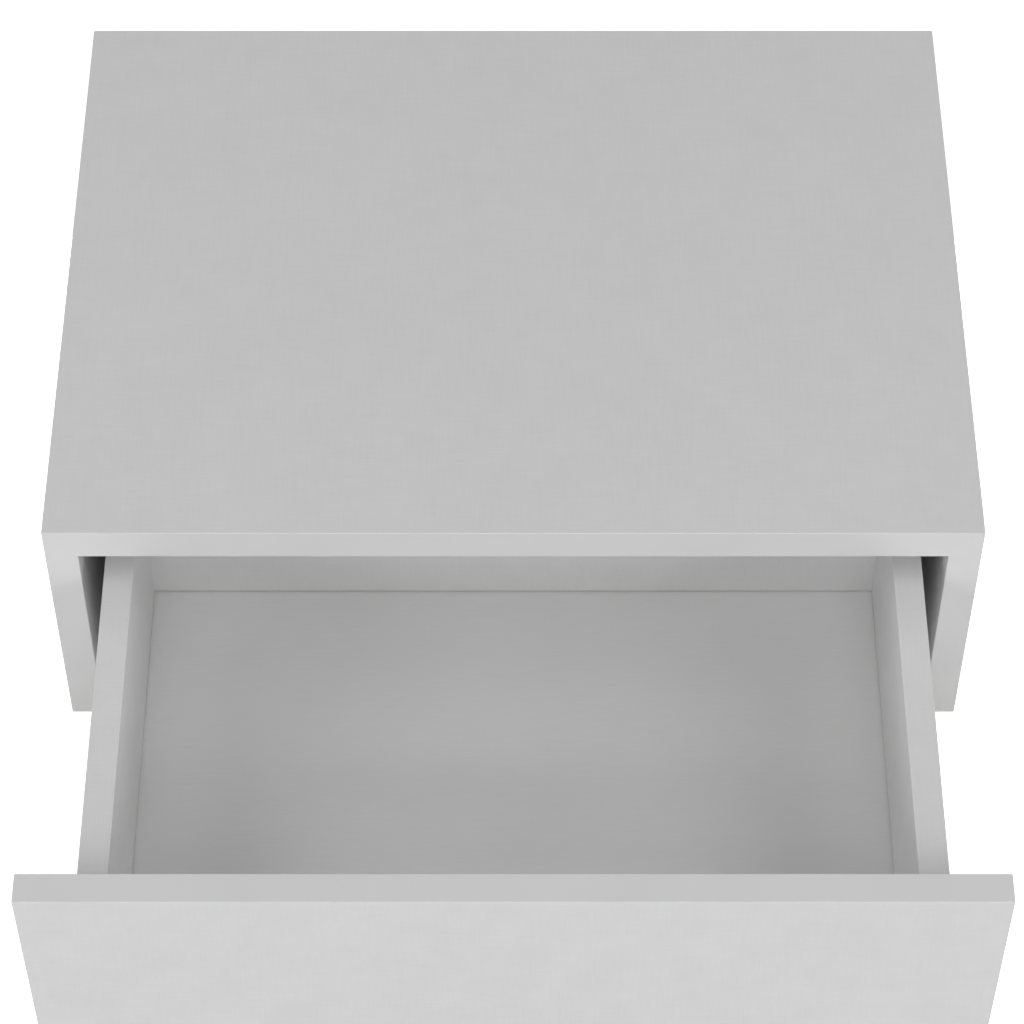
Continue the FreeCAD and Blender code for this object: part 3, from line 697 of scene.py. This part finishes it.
@dataclass(frozen=True)
class PressedHardboard(Finish):
    """Raw rear face of a thin hardboard, pressed from wood fibres.

    Even warm brown with short darker fibres and a soft sheen.
    """

    name: str = "hardboard_pressed"
    dark: str = "#7A5636"
    light: str = "#9C7650"
    roughness: tuple[float, float] = (0.5, 0.62)
    relief_mm: float = 0.05
    tone_span: tuple[float, float] = (0.35, 0.65)
    # As wide as a matted bundle, because single fibres are too fine to show
    fibre_mm: float = 0.35
    fibre_length_mm: float = 5.0
    cloud_mm: float = 22.0
    cloud_share: float = 0.5

    def pattern(self, tree: NodeTree, place: NodeSocket) -> tuple[NodeSocket, NodeSocket]:
        """Matted fibres that lie both ways, under slow clouds.

        Args:
            tree: the material's node tree.
            place: a point's place on the object, in metres.

        Returns:
            Fibres under clouds, and the fibres alone.
        """
        fibres = crossed_streaks(tree, place, self.fibre_mm, self.fibre_length_mm, (0, 1))
        clouds = add_node(tree, "ShaderNodeTexNoise", None,
                          {"Vector": place, "Scale": per_metre(self.cloud_mm), "Detail": 4.0})
        tone = add_node(tree, "ShaderNodeMix", None,
                        {0: self.cloud_share, 2: fibres, 3: clouds.outputs[0]})
        return tone.outputs[0], fibres


@dataclass(frozen=True)
class PrintedHardboard(Finish):
    """Printed and lacquered upper face of the drawer bottom.

    Smoother than the boards, with flecks of print for their threads. Its tone is a little lighter than the boards'
    decor as painted light, standing in for the brighter light that falls on the open drawer's floor.
    """

    name: str = "hardboard_printed"
    # Lighter than the melamine's tones: painted light for the brighter drawer floor
    dark: str = "#E3E3E3"
    light: str = "#E6E6E6"
    roughness: tuple[float, float] = (0.56, 0.46)
    relief_mm: float = 0.008
    tone_span: tuple[float, float] = (0.38, 0.62)
    rough_span: tuple[float, float] = (0.4, 0.6)
    fleck_mm: float = 1.1
    fleck_length_mm: float = 14.0
    fleck_height_mm: float = 5.0
    drift_mm: float = 70.0
    drift_share: float = 0.6

    def pattern(self, tree: NodeTree, place: NodeSocket) -> tuple[NodeSocket, NodeSocket]:
        """Long faint flecks across the board under a slow drift.

        Args:
            tree: the material's node tree.
            place: a point's place on the object, in metres.

        Returns:
            Flecks under a drift, and the flecks alone.
        """
        flecks = streaks(tree, place, (self.fleck_length_mm, self.fleck_mm, self.fleck_height_mm))
        drift = add_node(tree, "ShaderNodeTexNoise", None,
                         {"Vector": place, "Scale": per_metre(self.drift_mm)})
        tone = add_node(tree, "ShaderNodeMix", None,
                        {0: self.drift_share, 2: flecks, 3: drift.outputs[0]})
        return tone.outputs[0], flecks


@dataclass(frozen=True)
class PowderCoat(Finish):
    """White epoxy powder baked on rolled steel.

    Glossy white with the shallow waves of orange peel and a few dull rubbed patches.
    """

    name: str = "epoxy_powder_coat"
    dark: str = "#DCDCD8"
    light: str = "#EBEBE8"
    roughness: tuple[float, float] = (0.26, 0.42)
    relief_mm: float = 0.012
    ior: float = 1.55
    peel_mm: float = 1.3
    rub_mm: float = 9.0

    def pattern(self, tree: NodeTree, place: NodeSocket) -> tuple[NodeSocket, NodeSocket]:
        """Patches of wear over the waves of orange peel.

        Args:
            tree: the material's node tree.
            place: a point's place on the object, in metres.

        Returns:
            The worn patches and the waves.
        """
        rubbed = add_node(tree, "ShaderNodeTexNoise", None,
                          {"Vector": place, "Scale": per_metre(self.rub_mm), "Detail": 3.0})
        peel = add_node(tree, "ShaderNodeTexNoise", None,
                        {"Vector": place, "Scale": per_metre(self.peel_mm), "Detail": 1.0})
        return rubbed.outputs[0], peel.outputs[0]


@dataclass(frozen=True)
class MouldedNylon(Finish):
    """Injection-moulded nylon roller.

    Milky white, lets a little light in, with fine wear lines round the tread.
    """

    name: str = "nylon_moulded"
    dark: str = "#D9D8D0"
    light: str = "#EAE9E3"
    roughness: tuple[float, float] = (0.36, 0.5)
    relief_mm: float = 0.008
    ior: float = 1.53
    # Wider than real wear lines, which are too fine to show
    line_mm: float = 0.35
    line_length_mm: float = 40.0
    light_share: float = 0.2
    light_depth: tuple[float, float, float] = (0.002, 0.002, 0.0015)

    def pattern(self, tree: NodeTree, place: NodeSocket) -> tuple[NodeSocket, NodeSocket]:
        """Wear lines across the roller's width, which the turning draws out round it.

        Args:
            tree: the material's node tree.
            place: a point's place on the object, in metres.

        Returns:
            The lines, twice.
        """
        lines = streaks(tree, place, (self.line_mm, self.line_length_mm, self.line_length_mm))
        return lines, lines

    def even_values(self) -> dict[str, object]:
        """Light goes a little way into the nylon."""
        return {"IOR": self.ior, "Subsurface Weight": self.light_share,
                "Subsurface Radius": self.light_depth}


@dataclass(frozen=True)
class Metal(Finish):
    """Bare or plated metal, clouded in colour and roughness by one noise."""

    cloud_mm: float = 1.8

    def pattern(self, tree: NodeTree, place: NodeSocket) -> tuple[NodeSocket, NodeSocket]:
        """The same clouds in tone and relief.

        Args:
            tree: the material's node tree.
            place: a point's place on the object, in metres.

        Returns:
            The clouds, twice.
        """
        clouds = add_node(tree, "ShaderNodeTexNoise", None,
                          {"Vector": place, "Scale": per_metre(self.cloud_mm), "Detail": 3.0})
        return clouds.outputs[0], clouds.outputs[0]

    def even_values(self) -> dict[str, object]:
        """Metal all over."""
        return {"Metallic": 1.0}


@dataclass(frozen=True)
class ZincPlate(Metal):
    """Cold-headed steel with bright zinc plating.

    Silvery, faintly cloudy, with a satin that hides the tool marks.
    """

    name: str = "steel_zinc_plated"
    dark: str = "#A9ABAF"
    light: str = "#C9CBCE"
    roughness: tuple[float, float] = (0.26, 0.4)
    relief_mm: float = 0.01


@dataclass(frozen=True)
class CastZinc(Metal):
    """Die-cast zinc alloy as it leaves the mould.

    Duller and darker than plating, with a fine cast grain.
    """

    name: str = "zinc_die_cast"
    dark: str = "#85878B"
    light: str = "#A6A8AB"
    roughness: tuple[float, float] = (0.42, 0.58)
    relief_mm: float = 0.02
    # Coarser than the real cast grain, which is too fine to show
    cloud_mm: float = 0.45


@dataclass(frozen=True)
class TurnedBeech(Finish):
    """Beech dowel rod, turned and left raw: pink-tan with short darker rays."""

    name: str = "beech_turned"
    dark: str = "#B48A60"
    light: str = "#D0AA80"
    roughness: tuple[float, float] = (0.6, 0.75)
    relief_mm: float = 0.03
    ray_mm: float = 1.2

    def pattern(self, tree: NodeTree, place: NodeSocket) -> tuple[NodeSocket, NodeSocket]:
        """Short rays in tone and relief.

        Args:
            tree: the material's node tree.
            place: a point's place on the object, in metres.

        Returns:
            The rays, twice.
        """
        rays = add_node(tree, "ShaderNodeTexNoise", None,
                        {"Vector": place, "Scale": per_metre(self.ray_mm), "Detail": 4.0})
        return rays.outputs[0], rays.outputs[0]


@dataclass(frozen=True)
class CastPolyurethane(Finish):
    """Cast polyurethane of a bumper pad: soft, cloudy and slightly shiny."""

    name: str = "polyurethane_cast"
    dark: str = "#C2C6C6"
    light: str = "#D6DADA"
    roughness: tuple[float, float] = (0.18, 0.3)
    relief_mm: float = 0.004
    cloud_mm: float = 2.0
    light_share: float = 0.4
    light_depth: tuple[float, float, float] = (0.003, 0.003, 0.003)

    def pattern(self, tree: NodeTree, place: NodeSocket) -> tuple[NodeSocket, NodeSocket]:
        """Clouds in tone and relief.

        Args:
            tree: the material's node tree.
            place: a point's place on the object, in metres.

        Returns:
            The clouds, twice.
        """
        clouds = add_node(tree, "ShaderNodeTexNoise", None,
                          {"Vector": place, "Scale": per_metre(self.cloud_mm)})
        return clouds.outputs[0], clouds.outputs[0]

    def even_values(self) -> dict[str, object]:
        """Light goes deep into the soft plastic."""
        return {"IOR": self.ior, "Subsurface Weight": self.light_share,
                "Subsurface Radius": self.light_depth}


class Palette:
    """All finishes of the nightstand, each built once."""

    def __init__(self) -> None:
        """Build every finish."""
        self.melamine = PressedMelamine().build()
        self.band = ExtrudedBand().build()
        self.sawn = SawnParticleboard().build()
        self.hardboard = PressedHardboard().build()
        self.printed = PrintedHardboard().build()
        self.powder = PowderCoat().build()
        self.nylon = MouldedNylon().build()
        self.plated = ZincPlate().build()
        self.cast = CastZinc().build()
        self.beech = TurnedBeech().build()
        self.bumper = CastPolyurethane().build()


# --------------------------------------------------------------------------- fittings
# Each is turned about its axis, with its outer end at x = 0 and its body along +X.
# Sizes are in millimetres.

@dataclass(frozen=True)
class CrossRecess:
    """Tapered cross recess for a screwdriver."""

    reach: float
    width: float
    depth: float
    taper: float = 0.55

    def cut(self, fitting: BMesh) -> BMesh:
        """Take the recess out of a fitting's outer end.

        Args:
            fitting: the fitting. It is freed.

        Returns:
            The fitting with its recess.
        """
        cutter = bmesh.new()
        for length, breadth in ((self.reach, self.width / 2), (self.width / 2, self.reach)):
            arm = bmesh.ops.create_cube(cutter, size=2.0)["verts"]
            bmesh.ops.scale(cutter, vec=Vector((self.depth, length, breadth)) * MM, verts=arm)
            for vert in arm:
                if vert.co.x > 0:
                    vert.co.y *= self.taper
                    vert.co.z *= self.taper
        return carve(fitting, cutter)


@dataclass(frozen=True)
class Fitting:
    """What every turned fitting has: a length, an outline and perhaps a recess."""

    length: float
    recess: CrossRecess | None = None
    steps: int = 32
    sharp_degrees: float = 32.0

    def outline(self) -> list[Point]:
        """Points from the axis at the outer end to the axis at the inner end."""
        raise NotImplementedError

    def build(self) -> BMesh:
        """Turn the outline and cut the recess.

        Returns:
            The closed shape, shaded.
        """
        shape = turned(self.outline(), self.steps)
        if self.recess:
            shape = self.recess.cut(shape)
        shade_smooth(shape, self.sharp_degrees)
        return shape


@dataclass(frozen=True)
class CamLock(Fitting):
    """Cam lock with a rounded rim."""

    recess: CrossRecess | None = CrossRecess(reach=3.4, width=1.7, depth=2.6)
    steps: int = 40
    radius: float = 7.5
    rim: float = 0.6

    def outline(self) -> list[Point]:
        """Flat face, rounded rim and straight wall."""
        rim = quarter_round((0.0, self.radius - self.rim), (self.rim, self.radius), steps=3)
        return [(0.0, 0.0), *rim, (self.length, self.radius), (self.length, 0.0)]


@dataclass(frozen=True)
class BumperPad(Fitting):
    """Pad with its flat side at x = 0 and its dome along +X."""

    length: float = 1.2
    steps: int = 28
    sharp_degrees: float = 50.0
    radius: float = 4.0
    rim: float = 0.3

    def outline(self) -> list[Point]:
        """Flat side, low straight rim and dome."""
        dome = quarter_round((self.length, 0.0), (self.rim, self.radius), steps=7)
        return [(0.0, 0.0), (0.0, self.radius), *reversed(dome)]


@dataclass(frozen=True)
class LongScrew(Fitting):
    """Flat-headed screw for particleboard, with rings for its coarse thread."""

    length: float = 45.0
    recess: CrossRecess | None = CrossRecess(reach=2.1, width=1.0, depth=1.6)
    steps: int = 24
    head_radius: float = 3.5
    head_height: float = 2.0
    # How far the head's edge is taken off, along and across
    head_edge: Point = (0.3, 0.2)
    crest_radius: float = 2.5
    root_radius: float = 1.9
    thread_start: float = 14.0
    pitch: float = 3.0
    rings: int = 10
    # Where a ring rises, peaks and ends within its pitch
    ring: tuple[float, float, float] = (0.4, 1.5, 2.2)

    def outline(self) -> list[Point]:
        """Draw the screw.

        Returns:
            Head, plain neck, rings and point.
        """
        inwards, across = self.head_edge
        points = [(0.0, 0.0), (0.0, self.head_radius - across), (inwards, self.head_radius),
                  (self.head_height, self.head_radius), (self.head_height, self.crest_radius),
                  (self.thread_start, self.crest_radius)]
        rise, peak, end = self.ring
        for turn in range(self.rings):
            start = self.thread_start + self.pitch * turn
            points += [(start + rise, self.root_radius), (start + peak, self.crest_radius),
                       (start + end, self.root_radius)]
        return [*points, (self.length, 0.0)]


@dataclass(frozen=True)
class FlushScrew(Fitting):
    """Thick screw with a sunk head, for a runner member on a side panel."""

    length: float = 12.0
    recess: CrossRecess | None = CrossRecess(reach=2.3, width=1.1, depth=1.8)
    head_radius: float = 4.0
    edge: float = 0.2
    # Where the head's cone starts and ends
    cone: tuple[float, float] = (0.5, 1.2)
    shank_radius: float = 2.8
    tip: float = 0.6

    def outline(self) -> list[Point]:
        """Draw the screw.

        Returns:
            Head that narrows to the shank, and a short tapered tip.
        """
        cone_start, cone_end = self.cone
        return [(0.0, 0.0), (0.0, self.head_radius - self.edge), (self.edge, self.head_radius),
                (cone_start, self.head_radius), (cone_end, self.shank_radius),
                (self.length - self.tip, self.shank_radius),
                (self.length, self.shank_radius - self.tip), (self.length, 0.0)]


@dataclass(frozen=True)
class PanScrew(Fitting):
    """Pan-headed screw for a runner member under a drawer side."""

    length: float = 11.8
    recess: CrossRecess | None = CrossRecess(reach=1.5, width=0.8, depth=1.3)
    head_radius: float = 3.0
    head_height: float = 1.8
    flat_radius: float = 1.6
    dome: float = 0.9
    shank_radius: float = 1.75
    tip: float = 0.8

    def outline(self) -> list[Point]:
        """Draw the screw.

        Returns:
            Domed head, shank and tapered tip.
        """
        dome = quarter_round((0.0, self.flat_radius), (self.dome, self.head_radius))
        return [(0.0, 0.0), *dome, (self.head_height, self.head_radius),
                (self.head_height, self.shank_radius),
                (self.length - self.tip, self.shank_radius), (self.length, self.tip),
                (self.length, 0.0)]


@dataclass(frozen=True)
class AxlePin(Fitting):
    """Riveted axle pin with a domed head."""

    head_radius: float = 3.25
    head_height: float = 0.8
    dome: float = 0.6
    shank_radius: float = 2.0

    def outline(self) -> list[Point]:
        """Draw the pin.

        Returns:
            Dome, head and shank.
        """
        dome = quarter_round((0.0, 0.0), (self.dome, self.head_radius), steps=6)
        return [*dome, (self.head_height, self.head_radius),
                (self.head_height, self.shank_radius), (self.length, self.shank_radius),
                (self.length, 0.0)]


@dataclass(frozen=True, kw_only=True)
class Roller(Fitting):
    """Moulded roller with a bore, sunk hub and web, rounded rims and a hollow tread."""

    steps: int = 40
    radius: float
    bore: float = 2.05
    hub_radius: float = 3.2
    hub_depth: float = 0.9
    web_depth: float = 0.5
    rim_width: float = 2.0
    slope: float = 0.3
    rounding: float = 0.7
    hollow: float = 0.12

    def outline(self) -> list[Point]:
        """Draw the roller's section.

        Returns:
            One face, the tread, the other face and the bore.
        """
        face = [(self.hub_depth, self.bore), (self.hub_depth, self.hub_radius),
                (self.web_depth, self.hub_radius + self.slope),
                (self.web_depth, self.radius - self.rim_width),
                (0.0, self.radius - self.rim_width + self.slope),
                *quarter_round((0.0, self.radius - self.rounding), (self.rounding, self.radius))]
        other = [(self.length - along, out) for along, out in reversed(face)]
        return [*face, (self.length / 2, self.radius - self.hollow), *other, face[0]]


# ----------------------------------------------------------------------------- boards

@dataclass(frozen=True)
class BoardSpec:
    """How one board is faced and rounded."""

    node: str
    faced: tuple[Face, ...]
    eased: tuple[Face, ...]


@dataclass
class BoardWork:
    """Board and band making that the case and the drawer share."""

    palette: Palette
    board_radius: float = 0.15 * MM
    band_radius: float = 0.4 * MM
    facing_reach: float = 0.4 * MM
    board_segments: int = 2
    band_segments: int = 4

    def board(self, spec: BoardSpec, face_coat: Material, core_coat: Material) -> Object:
        """Board with its decor on the faced sides and its core everywhere else.

        Args:
            spec: which board, and how it is faced and rounded.
            face_coat: the decor.
            core_coat: what shows where the board is sawn or drilled.

        Returns:
            The finished board.
        """
        box = Box.of_node(spec.node)
        mesh = whole_faced_copy(spec.node)
        round_edges(mesh, outer_edges(mesh, box, spec.eased), self.board_radius,
                    self.board_segments)
        for surface_part in mesh.faces:
            middle = surface_part.calc_center_median()
            on_decor = any(box.touches(middle, face, self.facing_reach) for face in spec.faced)
            surface_part.material_index = 0 if on_decor else 1
        return finished(mesh, spec.node, "board", [face_coat, core_coat])

    def band(self, node: str, open_faces: Iterable[Face]) -> Object:
        """Edge band, rounded where two of its open faces meet.

        Args:
            node: name of the band's CAD node.
            open_faces: the faces that no other piece lies against.

        Returns:
            The finished band.
        """
        box = Box.of_node(node)
        mesh = block(box)
        round_edges(mesh, outer_edges(mesh, box, open_faces), self.band_radius,
                    self.band_segments)
        return finished(mesh, node, "strip", [self.palette.band])


@dataclass
class Case(BoardWork):
    """The hanging case: five boards, their edge bands and what joins them."""

    boards: tuple[BoardSpec, ...] = (
        BoardSpec("top_panel", (Face.TOP, Face.BOTTOM), (Face.TOP, Face.REAR)),
        BoardSpec("bottom_panel", (Face.TOP, Face.BOTTOM), (Face.BOTTOM, Face.REAR)),
        BoardSpec("back_panel", (Face.FRONT, Face.REAR), ()),
        BoardSpec("side_panel_left", (Face.LEFT, Face.RIGHT), (Face.LEFT, Face.TOP, Face.REAR)),
        BoardSpec("side_panel_right", (Face.LEFT, Face.RIGHT), (Face.RIGHT, Face.TOP, Face.REAR)),
    )
    lock: CamLock = CamLock(12.5)

    def build(self) -> None:
        """Make the boards, bands and fittings."""
        for spec in self.boards:
            self.board(spec, self.palette.melamine, self.palette.sawn)
        self.bands()
        self.locks()
        dress_node("cam_bolts", self.palette.plated)
        dress_node("case_dowels", self.palette.beech)

    def bands(self) -> None:
        """Edge bands, left square where they butt against another board's band."""
        self.band("top_band_front", (Face.FRONT, Face.TOP, Face.LEFT, Face.RIGHT))
        self.band("bottom_band_front", (Face.FRONT, Face.TOP, Face.BOTTOM))
        for side in Side:
            outside = Face[side.name]
            self.band(f"top_band_{side.word}", (outside, Face.TOP, Face.REAR))
            self.band(f"side_band_front_{side.word}",
                      (Face.FRONT, Face.LEFT, Face.RIGHT, Face.BOTTOM))
            self.band(f"side_band_low_{side.word}",
                      (Face.LEFT, Face.RIGHT, Face.BOTTOM, Face.REAR))

    def locks(self) -> None:
        """Cam locks, each with its recess turned to the open side of its pocket."""
        seats = []
        for box in islands("cam_locks"):
            axis = min(range(3), key=lambda index: box.size[index])
            # Side locks open to the middle, rear locks to the wall and low ones downwards
            outwards = Vector((0, 0, 0))
            outwards[axis] = (-math.copysign(1, box.centre.x), 1.0, -1.0)[axis]
            seats.append((box.centre + outwards * box.size[axis] / 2, -outwards))
        finished(seated_copies(self.lock.build(), seats), "cam_locks", "cast",
                 [self.palette.cast])


# ----------------------------------------------------------------------------- drawer

@dataclass
class Drawer(BoardWork):
    """The drawer: front, box, thin bottom and what joins them."""

    lock: CamLock = CamLock(11.0)
    screw: LongScrew = LongScrew()
    pad: BumperPad = BumperPad()

    def build(self) -> None:
        """Make the boards, bands, bottom, fittings and bumper pads."""
        melamine, sawn = self.palette.melamine, self.palette.sawn
        self.board(BoardSpec("drawer_front", (Face.FRONT, Face.REAR), ()), melamine, sawn)
        self.board(BoardSpec("drawer_back", (Face.FRONT, Face.REAR, Face.TOP),
                             (Face.FRONT, Face.REAR, Face.TOP)), melamine, sawn)
        for side in Side:
            self.board(BoardSpec(f"drawer_side_{side.word}",
                                 (Face.LEFT, Face.RIGHT, Face.TOP),
                                 (Face.LEFT, Face.RIGHT, Face.TOP, Face.REAR)), melamine, sawn)
        # The printed face's tone is lighter than the boards' as painted light for the lit drawer floor
        self.board(BoardSpec("drawer_bottom", (Face.TOP,), ()), self.palette.printed,
                   self.palette.hardboard)
        self.bands()
        self.fittings()
        self.pads()

    def bands(self) -> None:
        """Edge bands round the drawer front."""
        across = (Face.FRONT, Face.REAR, Face.LEFT, Face.RIGHT)
        self.band("front_band_top", (*across, Face.TOP))
        self.band("front_band_low", (*across, Face.BOTTOM))
        for side in Side:
            self.band(f"front_band_{side.word}", (Face.FRONT, Face.REAR, Face[side.name]))

    def fittings(self) -> None:
        """Cam locks and long screws that show in the drawer sides' outer faces."""
        finished(seated_copies(self.lock.build(), side_seats("drawer_cam_locks", End.OUTER)),
                 "drawer_cam_locks", "cast", [self.palette.cast])
        finished(seated_copies(self.screw.build(), side_seats("drawer_back_screws", End.OUTER)),
                 "drawer_back_screws", "headed", [self.palette.plated])
        dress_node("drawer_cam_bolts", self.palette.plated)
        dress_node("drawer_dowels", self.palette.beech)

    def pads(self) -> None:
        """Domed bumper pads behind the drawer front."""
        seats = [(Vector((box.centre.x, box.low.y, box.centre.z)), Vector((0, 1, 0)))
                 for box in islands("bumper_pads")]
        finished(seated_copies(self.pad.build(), seats), "bumper_pads", "domes",
                 [self.palette.bumper])


# ---------------------------------------------------------------------------- runners

@dataclass
class Runners:
    """Both pairs of runner members with their rollers, pins and screws."""

    palette: Palette
    bend_radius: float = 0.35 * MM
    bend_segments: int = 3
    bend_degrees: float = 60.0
    full_length_share: float = 0.9
    flush_screw: FlushScrew = FlushScrew()
    pan_screw: PanScrew = PanScrew()

    def build(self) -> None:
        """Make the members, rollers, pins and screws."""
        for side in Side:
            self.member(f"case_runner_{side.word}")
            self.member(f"drawer_runner_{side.word}")
            self.roller(f"case_roller_{side.word}")
            self.roller(f"drawer_roller_{side.word}")
        self.pins("case_roller_pins", End.INNER)
        self.pins("drawer_roller_pins", End.OUTER)
        self.screws()

    def member(self, node: str) -> Object:
        """Bent-sheet member with the bends that run its whole length rounded.

        Args:
            node: name of the member's CAD node.

        Returns:
            The finished member.
        """
        least_length = self.full_length_share * Box.of_node(node).size.y
        least_angle = math.radians(self.bend_degrees)
        mesh = whole_faced_copy(node)
        bends = [edge for edge in mesh.edges
                 if edge.calc_face_angle(0.0) > least_angle
                 and abs(edge.verts[0].co.y - edge.verts[1].co.y) > least_length]
        round_edges(mesh, bends, self.bend_radius, self.bend_segments)
        return finished(mesh, node, "bent", [self.palette.powder])

    def roller(self, node: str) -> Object:
        """Roller as wide and as large as its CAD node.

        Args:
            node: name of the roller's CAD node.

        Returns:
            The finished roller.
        """
        box = Box.of_node(node)
        mesh = Roller(length=box.size.x / MM, radius=box.size.z / 2 / MM).build()
        bmesh.ops.translate(mesh, verts=mesh.verts,
                            vec=Vector((box.low.x, box.centre.y, box.centre.z)))
        return finished(mesh, node, "wheel", [self.palette.nylon])

    def pins(self, node: str, head_end: End) -> None:
        """Pair of axle pins, as long as their CAD node's.

        Args:
            node: CAD node of the pins.
            head_end: the end that their heads are at.
        """
        pin = AxlePin(length=islands(node)[0].size.x / MM)
        finished(seated_copies(pin.build(), side_seats(node, head_end)), node, "riveted",
                 [self.palette.plated])

    def screws(self) -> None:
        """Flush screws of the case members and pan heads under the drawer members."""
        flush_seats = side_seats("case_runner_screws", End.INNER)
        finished(seated_copies(self.flush_screw.build(), flush_seats), "case_runner_screws",
                 "headed", [self.palette.plated])
        pan_seats = [(Vector((box.centre.x, box.centre.y, box.low.z)), Vector((0, 0, 1)))
                     for box in islands("drawer_runner_screws")]
        finished(seated_copies(self.pan_screw.build(), pan_seats), "drawer_runner_screws",
                 "headed", [self.palette.plated])


# ----------------------------------------------------------------------------- studio

@dataclass(frozen=True)
class SoftLight:
    """Round soft light that points at the drawer, alone or with a twin across the middle.

    Its azimuth is 0 straight in front and grows to the right; its elevation is 0 level.
    """

    name: str
    azimuth: float
    elevation: float
    watts: float
    twin: bool = True
    diameter: float = 1.6
    distance: float = 3.0

    def build(self, target: Vector) -> None:
        """Hang the light, and its twin if it has one.

        Args:
            target: the point that it shines at.
        """
        self.hang(target, Side.RIGHT)
        if self.twin:
            self.hang(target, Side.LEFT)

    def hang(self, target: Vector, side: Side) -> None:
        """Hang one light and turn it to the target.

        Args:
            target: the point that it shines at.
            side: which side of the nightstand its azimuth is counted to.
        """
        around, up = math.radians(self.azimuth * side.value), math.radians(self.elevation)
        towards = Vector((math.sin(around) * math.cos(up), -math.cos(around) * math.cos(up),
                          math.sin(up)))
        data = bpy.data.lights.new(f"{self.name}_{side.word}", "AREA")
        data.shape = "DISK"
        data.size = self.diameter
        data.energy = self.watts
        light = bpy.data.objects.new(data.name, data)
        light.location = target + towards * self.distance
        light.rotation_euler = towards.to_track_quat("Z", "Y").to_euler()
        bpy.context.scene.collection.objects.link(light)


@dataclass
class Studio:
    """Pale floor, white surroundings, soft lights and the camera.

    Distances are in metres, and the camera's are from the top front edge's middle.
    """

    floor_drop: float = 2.0
    floor_half_width: float = 6.0
    floor_tone: str = "#F3F3F3"
    floor_roughness: float = 0.9
    floor_glow: float = 1.0
    surroundings: float = 1.0
    lens_mm: float = 120.85
    sensor_mm: float = 36.0
    camera_pitch_degrees: float = 52.185
    camera_before: float = 0.99533
    camera_above: float = 1.29913
    camera_left: float = 0.0006
    lights: tuple[SoftLight, ...] = (
        SoftLight("front_low", 0, 10, 8.0, twin=False),
        SoftLight("front", 0, 40, 14.0, twin=False),
        SoftLight("front_high", 0, 60, 12.0, twin=False),
        SoftLight("corner", 45, 15, 26.0),
        SoftLight("side_low", 90, 15, 7.0),
        SoftLight("side_high", 90, 45, 13.0),
        SoftLight("rear_corner", 135, 35, 12.0),
        SoftLight("under", 60, -35, 16.0),
        SoftLight("rear_low", 180, -40, 45.0, twin=False),
    )

    def build(self) -> None:
        """Set up the floor, the light and the camera."""
        self.floor()
        self.light()
        self.camera()

    def floor(self) -> None:
        """Wide white floor, well below the case, that throws no light back at it."""
        low = CAD_BOUNDS[0]
        mesh = bmesh.new()
        bmesh.ops.create_grid(mesh, x_segments=1, y_segments=1, size=self.floor_half_width)
        bmesh.ops.translate(mesh, vec=Vector((0, 0, low.z - self.floor_drop)), verts=mesh.verts)
        data = bpy.data.meshes.new("floor")
        mesh.to_mesh(data)
        mesh.free()
        data.materials.append(self.floor_paper())
        floor = bpy.data.objects.new("floor", data)
        floor.visible_diffuse = False
        floor.visible_shadow = False
        bpy.context.scene.collection.objects.link(floor)

    def floor_paper(self) -> Material:
        """White paper with a glow of its own, so that it shows as pure white.

        Returns:
            The floor's material.
        """
        material = bpy.data.materials.new("studio_paper")
        material.use_nodes = True
        tree = material.node_tree
        tree.nodes.clear()
        shader = add_node(tree, "ShaderNodeBsdfPrincipled", None,
                          {"Base Color": linear(self.floor_tone),
                           "Roughness": self.floor_roughness,
                           "Emission Color": linear(WHITE),
                           "Emission Strength": self.floor_glow})
        add_node(tree, "ShaderNodeOutputMaterial", None, {"Surface": shader.outputs[0]})
        return material

    def light(self) -> None:
        """White surroundings for reflections, and soft lights that do the lighting."""
        world = bpy.data.worlds.new("studio")
        world.use_nodes = True
        bpy.context.scene.world = world
        world.cycles_visibility.diffuse = False
        backdrop = world.node_tree.nodes["Background"]
        backdrop.inputs["Color"].default_value = linear(WHITE)
        backdrop.inputs["Strength"].default_value = self.surroundings
        target = Box.of_node("drawer_bottom").centre
        for light in self.lights:
            light.build(target)
        # Greys are shown as they are, with no film-like curve
        bpy.context.scene.view_settings.view_transform = "Standard"

    def camera(self) -> None:
        """Camera in front of and above the case, looking down into the drawer."""
        edge = Box.of_node("top_band_front")
        data = bpy.data.cameras.new("camera")
        data.lens = self.lens_mm
        data.sensor_width = self.sensor_mm
        camera = bpy.data.objects.new("camera", data)
        camera.location = Vector((-self.camera_left, edge.low.y - self.camera_before,
                                  edge.high.z + self.camera_above))
        camera.rotation_euler = (math.radians(90 - self.camera_pitch_degrees), 0, 0)
        bpy.context.scene.collection.objects.link(camera)
        bpy.context.scene.camera = camera


def main() -> None:
    """Build the nightstand's looks and the studio round it."""
    logging.basicConfig(level=logging.INFO, format="%(name)s: %(message)s")
    palette = Palette()
    Case(palette).build()
    Drawer(palette).build()
    Runners(palette).build()
    Studio().build()


if __name__ == "__main__":
    main()
